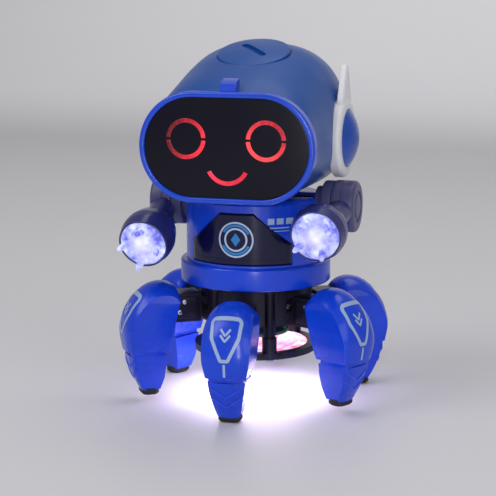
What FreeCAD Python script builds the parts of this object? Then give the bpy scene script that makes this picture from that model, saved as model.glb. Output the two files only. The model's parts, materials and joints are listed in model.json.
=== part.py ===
import FreeCAD, Part
import math
import os

# A battery toy robot that walks on six legs, in millimetres.
# +Z is up and the front faces -Y. The origin is on the floor, under the middle of the body.

V = FreeCAD.Vector
ORIGIN = V(0, 0, 0)
X_AXIS = V(1, 0, 0)
Y_AXIS = V(0, 1, 0)
Z_AXIS = V(0, 0, 1)

# ---------------------------------------------------------------- driving dimensions
FIT = 0.08                 # radial clearance of a shaft in its bearing
GAP = 0.3                  # clearance between a lid or plug and its opening

# Torso and waist
TORSO_R = 37.6
TORSO_WALL = 2.2
TORSO_BOTTOM = 76.0
TORSO_TOP = 111.0
NECK_R = 18.0
NECK_TOP = 119.0
FLANGE_R = 40.8
FLANGE_BOTTOM = 64.0
FLANGE_TOP = 76.0
FLANGE_WALL = 2.4
FLOOR_THICKNESS = 1.3

# Head
HEAD_Z = 141.4             # height of the face's centre
BEZEL_FRONT_Y = -57.0
BEZEL_BACK_Y = -50.5
BEZEL_W = 93.2
BEZEL_H = 57.2
BEZEL_RIM = 2.9
VISOR_RECESS = 0.8
VISOR_THICKNESS = 2.2
EYE_X = 21.2
EYE_Z = 145.8
EYE_R = 9.4                # centre line of the lit ring
LIT_STROKE = 2.4
EYE_GAP_DEG = 5.0
SMILE_X = 0.9
SMILE_Z = 134.4
SMILE_R = 10.9
SMILE_HALF_DEG = 63.0
HELMET_WALL = 3.4
# Cross-sections of the helmet: distance back, half width, lowest and highest point
HELMET_SECTIONS = (
    (-50.5, 45.6, 114.0, 169.0),
    (-38.0, 45.2, 112.8, 175.4),
    (-22.0, 45.6, 112.2, 181.5),
    (-4.0, 46.2, 112.0, 187.8),
    (12.0, 46.4, 112.0, 191.2),
    (26.0, 44.6, 113.0, 189.2),
    (38.0, 38.6, 117.0, 181.5),
    (46.0, 29.0, 123.5, 171.0),
    (50.5, 16.0, 133.0, 157.0),
)
HELMET_POWER = 2.6         # 2 is an ellipse, larger is squarer
CLIP_W = 9.4
CLIP_Y = (-52.5, -44.5)
CLIP_Z = (166.0, 176.6)

# Cap on the crown
CAP_CENTRE = V(0, -4.0, 187.7)
CAP_TILT_DEG = 18.0
CAP_R = 19.5
CAP_CROWN = 1.1
CAP_RIM = (-0.4, -2.6)
CAP_SPIGOT_R = 15.0
CAP_SPIGOT_DEPTH = 5.0
SLOT_LENGTH = 22.0
SLOT_WIDTH = 4.0
SLOT_DEPTH = 3.0
SLOT_TURN_DEG = 45.0

# Ears
EAR_Y = 8.0
EAR_R = 21.2
EAR_INNER_X = 43.2
EAR_DISC_R = 15.4
EAR_DISC_X = 55.0
FIN_TIP = (9.5, 181.0)
FIN_BASE_Y = (-1.0, 17.0)
FIN_X = (45.0, 48.6)

# Shoulders, arms and hands
SHOULDER_Z = 105.7
DRUM_R = 13.9
DRUM_X = (44.4, 56.8)
COLLAR_R = 10.4
COLLAR_FLANGE_R = 13.5
COLLAR_X = (34.9, 38.6, 44.1)    # inner end, start of the flange, outer end
STUB_R = 5.0
STUB_X = 35.4
HAND_X = 46.6
ARM_DROOP_DEG = {"left": 17.6, "right": 8.2}    # left is the side at -X
CUP_R = 14.4
LENS_R = 12.3
PRONG_COUNT = 4
PRONG_START_DEG = {"left": 5.0, "right": 30.0}

# Base and drive
DECK_R = 30.0
DECK_Z = (61.2, 63.9)
CRANK_Z = 50.0
THROW = 1.75               # how far each eccentric stands off the crank's axis
ECCENTRIC_R = 7.0
ECCENTRIC_X = {"a": (-14.0, -8.0), "b": (8.0, 14.0)}
CRANK_SHAFT_R = 2.5
CRANK_END_X = 19.0
BRACKET_X = (15.2, 18.2)
CRANK_GEAR_TEETH = 36
WHEEL_TEETH = 36
WHEEL_PINION_TEETH = 16
MOTOR_PINION_TEETH = 12
GEAR_MODULE = 0.5
MOTOR_Y = -12.0
MOTOR_Z = 71.5
MOTOR_R = 7.7
MOTOR_X = (-23.0, -3.4)
MOTOR_HALF_FLAT = 6.0

# Light chamber
POST_R = 2.7
POST_FOOT_R = 4.0
POST_RING_R = 30.0
POST_ANGLES = (30, -30, 150, -150)
CAGE_RING_Z = (25.5, 29.0)
CAGE_RING_R = (27.5, 33.5)
POST_FOOT_TOP = 37.0
SKIRT_R = (28.5, 31.0)     # wall between the legs that hides the drive
SKIRT_BOTTOM = 43.5
SKIRT_WINDOW_W = 17.0
SKIRT_WINDOW_LOW = (40.0, 48.0)      # round the spokes of the low group
SKIRT_WINDOW_HIGH = (50.0, 57.5)     # round the spokes of the high group
DOME_R = 27.2
DOME_BOTTOM = 21.5

# Legs: every height is for a leg of the low group, whose pads stand on the floor
RING_TURN_DEG = 3.5        # the ring of legs stands turned a little from the face
LEG_ANGLES = {
    "front": RING_TURN_DEG,
    "front_right": RING_TURN_DEG + 60,
    "rear_right": RING_TURN_DEG + 120,
    "rear": RING_TURN_DEG + 180,
    "rear_left": RING_TURN_DEG - 120,
    "front_left": RING_TURN_DEG - 60,
}
LOW_LEGS = ("front", "rear_right", "rear_left")
HIGH_LEGS = ("front_right", "rear", "front_left")
LEG_W = 26.0
LEG_GROOVE_Z = 24.6
FOOT_R = 60.9
PAD_H = 4.5
ARM_BOX_R = (33.0, 60.0)
ARM_BOX_W = 15.0
ARM_BOX_Z = (40.0, 55.4)
HUB_R = (20.0, 25.0)
# Side outline of the cover: distance from the middle of the robot, height
COVER_SIDE = (
    (45.6, 58.4), (49.2, 61.0), (55.0, 62.0), (61.4, 60.3), (67.2, 55.8), (72.0, 48.8),
    (74.8, 41.0), (75.6, 34.0), (74.2, LEG_GROOVE_Z), (52.6, LEG_GROOVE_Z),
    (50.4, 36.0), (48.4, 46.0), (46.4, 53.6),
)
# Front outline of the cover, right half: distance from its middle plane, height
COVER_FRONT = (
    (0.0, 62.0), (4.5, 61.4), (8.5, 59.2), (11.3, 55.4), (12.7, 49.6), (13.0, 42.0),
    (12.4, 33.0), (10.8, LEG_GROOVE_Z),
)
TIP_SIDE = (
    (73.2, 23.8), (71.9, 17.0), (69.4, 10.0), (66.6, PAD_H), (55.4, PAD_H), (53.8, 10.0),
    (53.2, 17.0), (53.2, 23.8),
)
TIP_FRONT = ((0.0, 23.8), (10.0, 23.8), (9.3, 17.0), (7.9, 10.0), (6.4, PAD_H), (0.0, PAD_H))
PEG_R = (58.0, 66.0)


# ---------------------------------------------------------------- helpers
def face_of(points):
    """A flat face inside a closed run of points."""
    return Part.Face(Part.makePolygon(list(points) + [points[0]]))


def cylinder_x(radius, x0, x1, y, z):
    return Part.makeCylinder(radius, x1 - x0, V(x0, y, z), X_AXIS)


def cylinder_z(radius, z0, z1, x=0.0, y=0.0):
    return Part.makeCylinder(radius, z1 - z0, V(x, y, z0), Z_AXIS)


def box(x0, x1, y0, y1, z0, z1):
    return Part.makeBox(x1 - x0, y1 - y0, z1 - z0, V(x0, y0, z0))


def revolve_z(profile):
    """Turn a profile of (radius, height) points about the Z axis."""
    face = face_of([V(r, 0, z) for r, z in profile])
    return face.revolve(ORIGIN, Z_AXIS, 360)


def revolve_along(profile, centre, direction):
    """Turn a profile of (radius, distance) points about a line through centre."""
    solid = revolve_z(profile)
    turn = FreeCAD.Rotation(Z_AXIS, direction)
    solid.Placement = FreeCAD.Placement(centre, turn)
    return solid


def polar(radius, degrees, z=0.0):
    """A point at an angle counted from the front (-Y) towards +X."""
    angle = math.radians(degrees)
    return V(radius * math.sin(angle), -radius * math.cos(angle), z)


def turn_to(shape, degrees):
    """Swing a shape made at the front round to a leg's angle."""
    turned = shape.copy()
    turned.rotate(ORIGIN, Z_AXIS, degrees)
    return turned


def mirror_x(shape):
    return shape.mirror(ORIGIN, X_AXIS)


def stadium(width, height, y0, y1, inset=0.0):
    """A solid with round ends, standing across the face, between two distances back."""
    half_height = height / 2 - inset
    half_flat = width / 2 - inset - half_height
    left = cylinder_y(half_height, -half_flat, y0, y1)
    right = cylinder_y(half_height, half_flat, y0, y1)
    middle = box(-half_flat, half_flat, y0, y1, HEAD_Z - half_height, HEAD_Z + half_height)
    return left.fuse([middle, right]).removeSplitter()


def cylinder_y(radius, x, y0, y1, z=HEAD_Z):
    return Part.makeCylinder(radius, y1 - y0, V(x, y0, z), Y_AXIS)


def arc_bar(x, z, radius, start, end, y0, y1):
    """A bar of the lit stroke's width along an arc in the plane of the face."""
    outer = radius + LIT_STROKE / 2
    inner = radius - LIT_STROKE / 2
    turn = FreeCAD.Rotation(X_AXIS, 90)
    ring = Part.makeCylinder(outer, y1 - y0, ORIGIN, Z_AXIS, end - start)
    ring = ring.cut(Part.makeCylinder(inner, y1 - y0))
    ring.rotate(ORIGIN, Z_AXIS, start)
    ring.Placement = FreeCAD.Placement(V(x, y1, z), turn).multiply(ring.Placement)
    return ring


def save(name, shape):
    shape.exportStep("parts/" + name + ".step")


# ---------------------------------------------------------------- torso and waist
def torso_shell():
    """Open-bottomed barrel with a deck on top and a round neck."""
    inner = TORSO_R - TORSO_WALL
    profile = (
        (inner, TORSO_BOTTOM), (TORSO_R, TORSO_BOTTOM), (TORSO_R, TORSO_TOP - 2.0),
        (TORSO_R - 2.0, TORSO_TOP), (NECK_R, TORSO_TOP), (NECK_R, NECK_TOP),
        (NECK_R - 3.0, NECK_TOP), (NECK_R - 3.0, TORSO_TOP - TORSO_WALL),
        (inner, TORSO_TOP - TORSO_WALL),
    )
    shell = revolve_z(profile)
    collar_hole = COLLAR_R + FIT
    across = cylinder_x(collar_hole, -TORSO_R - 5, TORSO_R + 5, 0, SHOULDER_Z)
    hatch = box(-20.3, 20.3, 10, TORSO_R + 5, 79.7, 103.3)
    chest = chest_solid(GAP / 2, 1.5)
    return shell.cut([across, hatch, chest])


def chest_outline(extra):
    """Six-sided outline of the chest plate as seen from the front."""
    half_top = 9.0 + extra
    half_side = 27.2 + extra
    bottom = 77.4 - extra
    return (
        V(-half_top, 0, 105.2 + extra), V(half_top, 0, 105.2 + extra),
        V(half_side, 0, 88.4 + extra), V(half_side, 0, bottom),
        V(-half_side, 0, bottom), V(-half_side, 0, 88.4 + extra),
    )


def chest_solid(extra, depth):
    """Everything inside the chest outline, from the given depth outwards."""
    prism = face_of(chest_outline(extra)).extrude(V(0, -TORSO_R - 6, 0))
    core = cylinder_z(TORSO_R - depth, TORSO_BOTTOM - 2, TORSO_TOP)
    return prism.cut(core)


def chest_plate():
    """Curved plate let into the barrel, standing slightly proud of it."""
    skin = cylinder_z(TORSO_R + 0.9, TORSO_BOTTOM - 2, TORSO_TOP)
    return chest_solid(0, 1.5).common(skin)


def waist_flange():
    """Wide dish that closes the barrel from below."""
    inner = FLANGE_R - FLANGE_WALL
    spigot = TORSO_R - TORSO_WALL - FIT
    profile = (
        (0, FLANGE_BOTTOM), (FLANGE_R - 1.0, FLANGE_BOTTOM), (FLANGE_R, FLANGE_BOTTOM + 1.0),
        (FLANGE_R, FLANGE_TOP - 1.6), (FLANGE_R - 1.6, FLANGE_TOP), (spigot, FLANGE_TOP),
        (spigot, FLANGE_TOP + 1.2), (spigot - 1.6, FLANGE_TOP + 1.2),
        (spigot - 1.6, FLANGE_TOP - 2.0), (inner, FLANGE_TOP - 2.0),
        (inner, FLANGE_BOTTOM + FLOOR_THICKNESS), (0, FLANGE_BOTTOM + FLOOR_THICKNESS),
    )
    dish = revolve_z(profile)
    gear_slot = box(-9, 9, -17.5, 5.5, FLANGE_BOTTOM - 1, FLANGE_BOTTOM + 3)
    switch_slot = box(-6.0, 6.0, 30, 45, 68.0, 72.0)
    return dish.cut([gear_slot, switch_slot])


def power_switch_knob():
    """Slide knob in a slot at the back of the waist."""
    cap = box(-5.5, -0.5, FLANGE_R - FLANGE_WALL - 1.0, FLANGE_R - 0.1, 68.2, 71.8)
    foot = box(-6.6, 0.6, 35.0, FLANGE_R - FLANGE_WALL - 1.0, 67.0, 73.0)
    return cap.fuse(foot).removeSplitter()


def battery_box():
    """Tray that holds three cells across the body."""
    outside = box(-26.5, 26.5, -11.2, 20.4, 78.4, 108.2)
    inside = box(-25.4, 25.4, -10.4, 25.0, 79.2, 107.6)
    step = box(-30, 30, -15.0, 4.0, 70.0, 92.6)
    shelf = box(-26.5, 26.5, -11.2, 4.6, 92.6, 93.4)
    wall = box(-26.5, 26.5, 4.0, 4.8, 78.4, 93.4)
    return outside.cut([inside, step]).fuse([shelf, wall]).removeSplitter()


def battery_cells():
    """Three AA cells."""
    cells = []
    for y, z in ((12.3, 86.3), (12.3, 100.5), (-3.0, 100.5)):
        body = cylinder_x(6.9, -25.1, 23.8, y, z)
        button = cylinder_x(2.7, 23.8, 25.1, y, z)
        cells.append(body.fuse(button).removeSplitter())
    return Part.makeCompound(cells)


def battery_door():
    """Curved hatch in the back of the barrel."""
    ring = cylinder_z(TORSO_R, 80.0, 103.0).cut(cylinder_z(TORSO_R - TORSO_WALL, 79.0, 104.0))
    hatch = ring.common(box(-20.0, 20.0, 20, 40, 80.0, 103.0))
    return hatch.cut(Part.makeCylinder(1.7, 12, V(0, 30, 100.0), Y_AXIS))


def battery_door_screw():
    """Small cross-head screw that holds the hatch."""
    seat = TORSO_R - 1.7
    shank = Part.makeCylinder(1.2, 6.6, V(0, seat - 5.7, 100.0), Y_AXIS)
    head = Part.makeCylinder(1.62, 1.5, V(0, seat, 100.0), Y_AXIS)
    cross = box(-1.0, 1.0, seat + 0.9, TORSO_R, 99.8, 100.2)
    cross = cross.fuse(box(-0.2, 0.2, seat + 0.9, TORSO_R, 99.0, 101.0))
    return shank.fuse(head).cut(cross)


def main_circuit_board():
    """Upright board behind the chest."""
    board = box(-22.0, 22.0, -25.6, -24.0, 80.0, 106.0)
    chip = box(-5.0, 5.0, -24.0, -22.4, 92.0, 99.0)
    capacitor = Part.makeCylinder(2.5, 6.0, V(13.0, -24.0, 90.0), Y_AXIS)
    return board.fuse([chip, capacitor])


def speaker():
    """Round speaker on the floor of the waist, behind the motor."""
    frame = cylinder_z(13.0, 65.3, 67.6, 0, 19.5)
    magnet = cylinder_z(7.5, 67.6, 72.0, 0, 19.5)
    return frame.fuse(magnet)


# ---------------------------------------------------------------- head
def helmet_wire(y, half_width, low, high):
    """Closed rounded cross-section of the helmet."""
    points = []
    count = 32
    for i in range(count):
        angle = 2 * math.pi * i / count
        c, s = math.cos(angle), math.sin(angle)
        reach = high - HEAD_Z if s >= 0 else HEAD_Z - low
        x = half_width * math.copysign(abs(c) ** (2 / HELMET_POWER), c)
        z = HEAD_Z + reach * math.copysign(abs(s) ** (2 / HELMET_POWER), s)
        points.append(V(x, y, z))
    curve = Part.BSplineCurve()
    curve.interpolate(points, True)
    return Part.Wire(curve.toShape())


def helmet_loft(inset):
    wires = []
    for y, half_width, low, high in HELMET_SECTIONS:
        if inset:
            y = y - 1.0 if y < 0 else y - inset
            half_width = max(half_width - inset, 8.0)
            low = low + inset
            high = high - inset
        wires.append(helmet_wire(y, half_width, low, high))
    return Part.makeLoft(wires, True, False)


def cap_axis():
    tilt = math.radians(CAP_TILT_DEG)
    return V(0, -math.sin(tilt), math.cos(tilt))


def helmet_shell():
    """Hollow helmet, open at the face, with seats for the ears, the cap and the neck."""
    shell = helmet_loft(0).cut(helmet_loft(HELMET_WALL))
    seats = []
    for sign in (-1, 1):
        x0 = EAR_INNER_X - 0.2 if sign > 0 else -60
        seats.append(cylinder_x(EAR_R + 0.4, x0, x0 + 60 - EAR_INNER_X + 0.2, EAR_Y, HEAD_Z))
    axis = cap_axis()
    seats.append(Part.makeCylinder(CAP_R + GAP, 20, CAP_CENTRE + axis * (CAP_RIM[1] - 0.2), axis))
    hole_start = CAP_CENTRE - axis * 10
    seats.append(Part.makeCylinder(CAP_SPIGOT_R + FIT, 20, hole_start, axis))
    seats.append(cylinder_z(NECK_R + FIT, 100, 120))
    shell = shell.cut(seats)
    clip = box(-CLIP_W / 2, CLIP_W / 2, CLIP_Y[0], CLIP_Y[1], CLIP_Z[0], CLIP_Z[1])
    clip = clip.makeFillet(1.2, clip.Edges)
    clip = clip.cut(box(-20, 20, -60, BEZEL_BACK_Y, 160, 180))
    return shell.fuse(clip.cut(helmet_loft(HELMET_WALL))).removeSplitter()


def face_bezel():
    """Raised rim with round ends that frames the visor."""
    rim = stadium(BEZEL_W, BEZEL_H, BEZEL_FRONT_Y, BEZEL_BACK_Y)
    front_edges = [e for e in rim.Edges if abs(e.CenterOfMass.y - BEZEL_FRONT_Y) < 0.01]
    rim = rim.makeFillet(1.2, front_edges)
    opening = stadium(BEZEL_W, BEZEL_H, BEZEL_FRONT_Y - 1, BEZEL_BACK_Y + 1, BEZEL_RIM)
    return rim.cut(opening)


def visor():
    """Flat smoked window set back inside the rim, cut through for the light guides."""
    front = BEZEL_FRONT_Y + VISOR_RECESS
    plate = stadium(BEZEL_W, BEZEL_H, front, front + VISOR_THICKNESS, BEZEL_RIM + 0.1)
    return plate.cut(face_lights())


def face_lights():
    """Two half rings for each eye and one arc for the smile."""
    front = BEZEL_FRONT_Y + VISOR_RECESS - 0.05
    back = front + VISOR_THICKNESS + 0.8
    bars = []
    for x in (-EYE_X, EYE_X):
        for start in (0, 180):
            end = start + 180 - EYE_GAP_DEG
            bars.append(arc_bar(x, EYE_Z, EYE_R, start + EYE_GAP_DEG, end, front, back))
    bars.append(arc_bar(SMILE_X, SMILE_Z, SMILE_R, 270 - SMILE_HALF_DEG, 270 + SMILE_HALF_DEG, front, back))
    return bars


def face_circuit_board():
    """Board behind the visor with a lamp behind each lit shape."""
    back = -49.0
    board = box(-29.5, 29.5, back, back + 1.6, 122.6, 160.0)
    lamps = []
    for x, z in ((-EYE_X, EYE_Z + EYE_R), (-EYE_X, EYE_Z - EYE_R), (EYE_X, EYE_Z + EYE_R),
                 (EYE_X, EYE_Z - EYE_R), (SMILE_X, SMILE_Z - SMILE_R + 1.5)):
        lamps.append(Part.makeCylinder(1.5, 4.0, V(x, back - 4.0, z), Y_AXIS))
    return board.fuse(lamps)


def coin_slot_cap():
    """Low domed cap with a slot for a coin, seated across the slope of the crown."""
    steps = 6
    crown = []
    for i in range(steps + 1):
        r = CAP_R * i / steps
        crown.append((r, CAP_CROWN + (CAP_RIM[0] - CAP_CROWN) * (r / CAP_R) ** 2))
    profile = crown + [
        (CAP_R, CAP_RIM[1]), (CAP_SPIGOT_R, CAP_RIM[1]), (CAP_SPIGOT_R, -CAP_SPIGOT_DEPTH),
        (0, -CAP_SPIGOT_DEPTH),
    ]
    cap = revolve_z(profile)
    slot = box(-SLOT_WIDTH / 2, SLOT_WIDTH / 2, -SLOT_LENGTH / 2 + SLOT_WIDTH / 2,
               SLOT_LENGTH / 2 - SLOT_WIDTH / 2, CAP_CROWN - SLOT_DEPTH, 10)
    ends = []
    for y in (-1, 1):
        end_y = y * (SLOT_LENGTH - SLOT_WIDTH) / 2
        ends.append(cylinder_z(SLOT_WIDTH / 2, CAP_CROWN - SLOT_DEPTH, 10, 0, end_y))
    slot = slot.fuse(ends)
    slot.rotate(ORIGIN, Z_AXIS, SLOT_TURN_DEG)
    cap = cap.cut(slot)
    cap.Placement = FreeCAD.Placement(CAP_CENTRE, FreeCAD.Rotation(X_AXIS, CAP_TILT_DEG))
    return cap


def ear_pod(with_fin):
    """Round cup on the right side of the head, with or without a fin that tapers upwards."""
    profile = ((0, 0), (EAR_R, 0), (EAR_R, 4.2), (EAR_R - 0.9, 5.6), (EAR_R - 2.6, 6.2),
               (EAR_DISC_R + GAP, 6.2), (EAR_DISC_R + GAP, 4.0), (0, 4.0))
    cup = revolve_along(profile, V(EAR_INNER_X, EAR_Y, HEAD_Z), X_AXIS)
    tip_y, tip_z = FIN_TIP
    outline = (
        V(FIN_X[0], FIN_BASE_Y[0], 157.0), V(FIN_X[0], FIN_BASE_Y[0], 163.0),
        V(FIN_X[0], tip_y - 2.2, tip_z), V(FIN_X[0], tip_y + 2.2, tip_z),
        V(FIN_X[0], FIN_BASE_Y[1], 163.0), V(FIN_X[0], FIN_BASE_Y[1], 157.0),
    )
    fin = face_of(outline).extrude(V(FIN_X[1] - FIN_X[0], 0, 0))
    well = cylinder_x(EAR_DISC_R + GAP, EAR_INNER_X + 4.0, 60, EAR_Y, HEAD_Z)
    if not with_fin:
        return cup
    return cup.fuse(fin).cut(well).removeSplitter()


def ear_disc():
    """Domed disc in the middle of the right ear."""
    base = 4.05
    height = EAR_DISC_X - EAR_INNER_X
    profile = [(0, base), (EAR_DISC_R, base)]
    steps = 6
    for i in range(steps + 1):
        r = EAR_DISC_R * (1 - i / steps)
        profile.append((r, height - (height - 6.0) * (r / EAR_DISC_R) ** 2))
    return revolve_along(profile, V(EAR_INNER_X, EAR_Y, HEAD_Z), X_AXIS)


# ---------------------------------------------------------------- shoulders, arms and hands
def shoulder_collar():
    """Fixed ring that plugs into the side of the barrel and carries the arm's stub."""
    plug = cylinder_x(COLLAR_R, COLLAR_X[0], COLLAR_X[1], 0, SHOULDER_Z)
    flange = cylinder_x(COLLAR_FLANGE_R, COLLAR_X[1], COLLAR_X[2], 0, SHOULDER_Z)
    return plug.fuse(flange).cut(cylinder_x(STUB_R + FIT, 0, 60, 0, SHOULDER_Z))


def arm_direction(side):
    droop = math.radians(ARM_DROOP_DEG[side])
    return V(0, -math.cos(droop), -math.sin(droop))


def arm(side):
    """Shoulder drum, forearm and hand cup of one arm, made at +X."""
    drum = cylinder_x(DRUM_R, DRUM_X[0], DRUM_X[1], 0, SHOULDER_Z)
    drum = drum.makeFillet(1.6, [e for e in drum.Edges if e.CenterOfMass.x > DRUM_X[1] - 0.1 and e.Closed])
    stub = cylinder_x(STUB_R, STUB_X, DRUM_X[0] + 1, 0, SHOULDER_Z)
    along = arm_direction(side)
    shoulder = V(HAND_X, 0, SHOULDER_Z)
    outside = (
        (0, 27.0), (6.5, 27.0), (9.5, 31.0), (12.6, 36.5), (CUP_R, 43.5), (CUP_R, 47.0),
        (13.2, 53.0), (12.9, 55.0), (0, 55.0),
    )
    cup = revolve_along(outside, shoulder, along)
    forearm = Part.makeCylinder(7.4, 36.0, V(50.4, 0, SHOULDER_Z), along)
    hollow = (
        (0, 38.0), (9.5, 38.0), (11.4, 45.0), (11.4, 51.6), (LENS_R + 0.15, 51.6),
        (LENS_R + 0.15, 56.0), (0, 56.0),
    )
    bowl = revolve_along(hollow, shoulder, along)
    beside_drum = box(30, DRUM_X[0], -20, 20, 80, 130)
    forearm = forearm.cut(beside_drum)
    recess = cylinder_x(8.6, DRUM_X[1] - 0.9, 60, 0, SHOULDER_Z)
    recess = recess.cut(cylinder_x(6.4, DRUM_X[1] - 2, 60, 0, SHOULDER_Z))
    return drum.fuse([stub, forearm, cup]).cut([bowl, recess]).removeSplitter()


def claw_lens(side):
    """Clear lens with short prongs on its face, made at +X."""
    along = arm_direction(side)
    shoulder = V(HAND_X, 0, SHOULDER_Z)
    profile = (
        (0, 51.7), (LENS_R, 51.7), (LENS_R, 54.9), (LENS_R - 1.0, 55.6), (6.0, 56.8), (0, 57.2),
    )
    lens = revolve_along(profile, shoulder, along)
    prongs = []
    turn = FreeCAD.Rotation(Y_AXIS * -1, along)
    for i in range(PRONG_COUNT):
        angle = math.radians(PRONG_START_DEG[side] + i * 360 / PRONG_COUNT)
        outward = turn.multVec(V(math.cos(angle), 0, math.sin(angle)))
        root = shoulder + along * 54.5 + outward * 7.2
        lean = along * 9.5 + outward * 2.6
        prongs.append(Part.makeCone(2.3, 1.1, lean.Length, root, lean))
    return lens.fuse(prongs).removeSplitter()


def hand_led(side):
    """Small board with a lamp at the bottom of the hand cup, made at +X."""
    along = arm_direction(side)
    shoulder = V(HAND_X, 0, SHOULDER_Z)
    profile = ((0, 38.1), (8.6, 38.1), (8.6, 39.5), (2.5, 39.5), (2.5, 45.0), (1.6, 46.8), (0, 47.4))
    return revolve_along(profile, shoulder, along)


# ---------------------------------------------------------------- drive
def gear_radius(teeth):
    return GEAR_MODULE * teeth / 2


def gear(teeth, x0, x1, y, z, phase):
    """Spur gear on a shaft along X, with one tooth pointing at the phase angle from +Y towards +Z."""
    pitch = gear_radius(teeth)
    tip = pitch + 0.75 * GEAR_MODULE
    root = pitch - 1.05 * GEAR_MODULE
    step = 2 * math.pi / teeth
    points = []
    for i in range(teeth):
        middle = phase + i * step
        for part, radius in ((-0.30, root), (-0.10, tip), (0.10, tip), (0.30, root)):
            angle = middle + part * step
            points.append(V(x0, y + radius * math.cos(angle), z + radius * math.sin(angle)))
    return face_of(points).extrude(V(x1 - x0, 0, 0))


def wheel_axis():
    """Where the reduction wheel turns: one mesh from the crank and one mesh from the motor."""
    to_crank = gear_radius(CRANK_GEAR_TEETH) + gear_radius(WHEEL_PINION_TEETH)
    to_motor = gear_radius(WHEEL_TEETH) + gear_radius(MOTOR_PINION_TEETH)
    dy, dz = MOTOR_Y, MOTOR_Z - CRANK_Z
    span = math.hypot(dy, dz)
    along = (to_crank ** 2 - to_motor ** 2 + span ** 2) / (2 * span)
    aside = math.sqrt(max(to_crank ** 2 - along ** 2, 0))
    uy, uz = dy / span, dz / span
    return along * uy + aside * uz, CRANK_Z + along * uz - aside * uy


def mesh_angles():
    """Angle from the crank to the wheel, and from the wheel to the motor."""
    wy, wz = wheel_axis()
    first = math.atan2(wz - CRANK_Z, wy)
    second = math.atan2(MOTOR_Z - wz, MOTOR_Y - wy)
    return first, second


def crankshaft():
    """Shaft with two opposed eccentrics and a gear between them."""
    shaft = cylinder_x(CRANK_SHAFT_R, -CRANK_END_X, CRANK_END_X, 0, CRANK_Z)
    low = cylinder_x(ECCENTRIC_R, *ECCENTRIC_X["a"], 0, CRANK_Z - THROW)
    high = cylinder_x(ECCENTRIC_R, *ECCENTRIC_X["b"], 0, CRANK_Z + THROW)
    first, _ = mesh_angles()
    wheel = gear(CRANK_GEAR_TEETH, -2.5, 2.5, 0, CRANK_Z, first)
    return shaft.fuse([low, high, wheel])


def reduction_gear():
    """Compound wheel: the motor turns its large gear, its small gear turns the crank."""
    wy, wz = wheel_axis()
    first, second = mesh_angles()
    half_step = math.pi / WHEEL_PINION_TEETH
    small = gear(WHEEL_PINION_TEETH, -3.0, 3.6, wy, wz, first + math.pi + half_step)
    large = gear(WHEEL_TEETH, 3.6, 6.0, wy, wz, second)
    bore = cylinder_x(1.0 + FIT, -10, 10, wy, wz)
    return small.fuse(large).cut(bore)


def motor_pinion():
    _, second = mesh_angles()
    half_step = math.pi / MOTOR_PINION_TEETH
    pinion = gear(MOTOR_PINION_TEETH, 3.2, 7.0, MOTOR_Y, MOTOR_Z, second + math.pi + half_step)
    return pinion.cut(cylinder_x(0.75 + 0.02, 0, 10, MOTOR_Y, MOTOR_Z))


def drive_motor():
    """Small can motor lying along X on the floor of the waist."""
    can = cylinder_x(MOTOR_R, *MOTOR_X, MOTOR_Y, MOTOR_Z)
    low, high = MOTOR_Z - MOTOR_HALF_FLAT, MOTOR_Z + MOTOR_HALF_FLAT
    can = can.common(box(*MOTOR_X, MOTOR_Y - 10, MOTOR_Y + 10, low, high))
    shaft = cylinder_x(0.75, MOTOR_X[1], 7.3, MOTOR_Y, MOTOR_Z)
    rear = cylinder_x(2.4, MOTOR_X[0] - 1.6, MOTOR_X[0], MOTOR_Y, MOTOR_Z)
    return can.fuse([shaft, rear])


def skirt():
    """Wall that hangs from the deck, with a window for the travel of each leg's spoke."""
    wall = cylinder_z(SKIRT_R[1], SKIRT_BOTTOM, DECK_Z[0] + 0.6).cut(cylinder_z(SKIRT_R[0], 0, 80))
    windows = []
    for leg, angle in LEG_ANGLES.items():
        low, high = SKIRT_WINDOW_LOW if leg in LOW_LEGS else SKIRT_WINDOW_HIGH
        window = box(-SKIRT_WINDOW_W / 2, SKIRT_WINDOW_W / 2, -40, -20, low, high)
        windows.append(turn_to(window, angle))
    return wall.cut(windows)


def base_housing():
    """Deck under the waist with the skirt and two brackets that carry the crankshaft."""
    deck = cylinder_z(DECK_R, *DECK_Z)
    bosses = []
    for angle in POST_ANGLES:
        spot = polar(POST_RING_R, angle)
        bosses.append(cylinder_z(POST_R + 0.8, DECK_Z[0], DECK_Z[1], spot.x, spot.y))
    deck = deck.fuse(bosses)
    brackets = []
    for sign in (-1, 1):
        x0, x1 = sorted((sign * BRACKET_X[0], sign * BRACKET_X[1]))
        brackets.append(box(x0, x1, -5.0, 5.0, CRANK_Z - 5.0, DECK_Z[0]))
    slot = box(-9, 9, -17.5, 5.5, DECK_Z[0] - 1, DECK_Z[1] + 1)
    bore = cylinder_x(CRANK_SHAFT_R + FIT, -20, 20, 0, CRANK_Z)
    grooves = []
    for angle in POST_ANGLES:
        spot = polar(POST_RING_R, angle)
        grooves.append(cylinder_z(POST_R + 0.1, 0, DECK_Z[0], spot.x, spot.y))
    return deck.fuse(brackets + [skirt()]).cut([slot, bore] + grooves).removeSplitter()


def gearbox_cover():
    """Bridge over the wheels: two cheeks with the reduction wheel's pin between them."""
    wy, wz = wheel_axis()
    near = box(-5.6, -4.0, wy - 5.0, wy + 5.0, DECK_Z[0], wz + 11.5)
    far = box(7.4, 8.8, wy - 5.0, wy + 5.0, DECK_Z[0], wz + 11.5)
    roof = box(-5.6, 8.8, wy - 5.0, wy + 5.0, wz + 10.0, wz + 11.5)
    pin = cylinder_x(1.0, -4.5, 7.9, wy, wz)
    return near.fuse([far, roof, pin]).cut(cylinder_x(MOTOR_R + 0.3, -20, 10, MOTOR_Y, MOTOR_Z))


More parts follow.
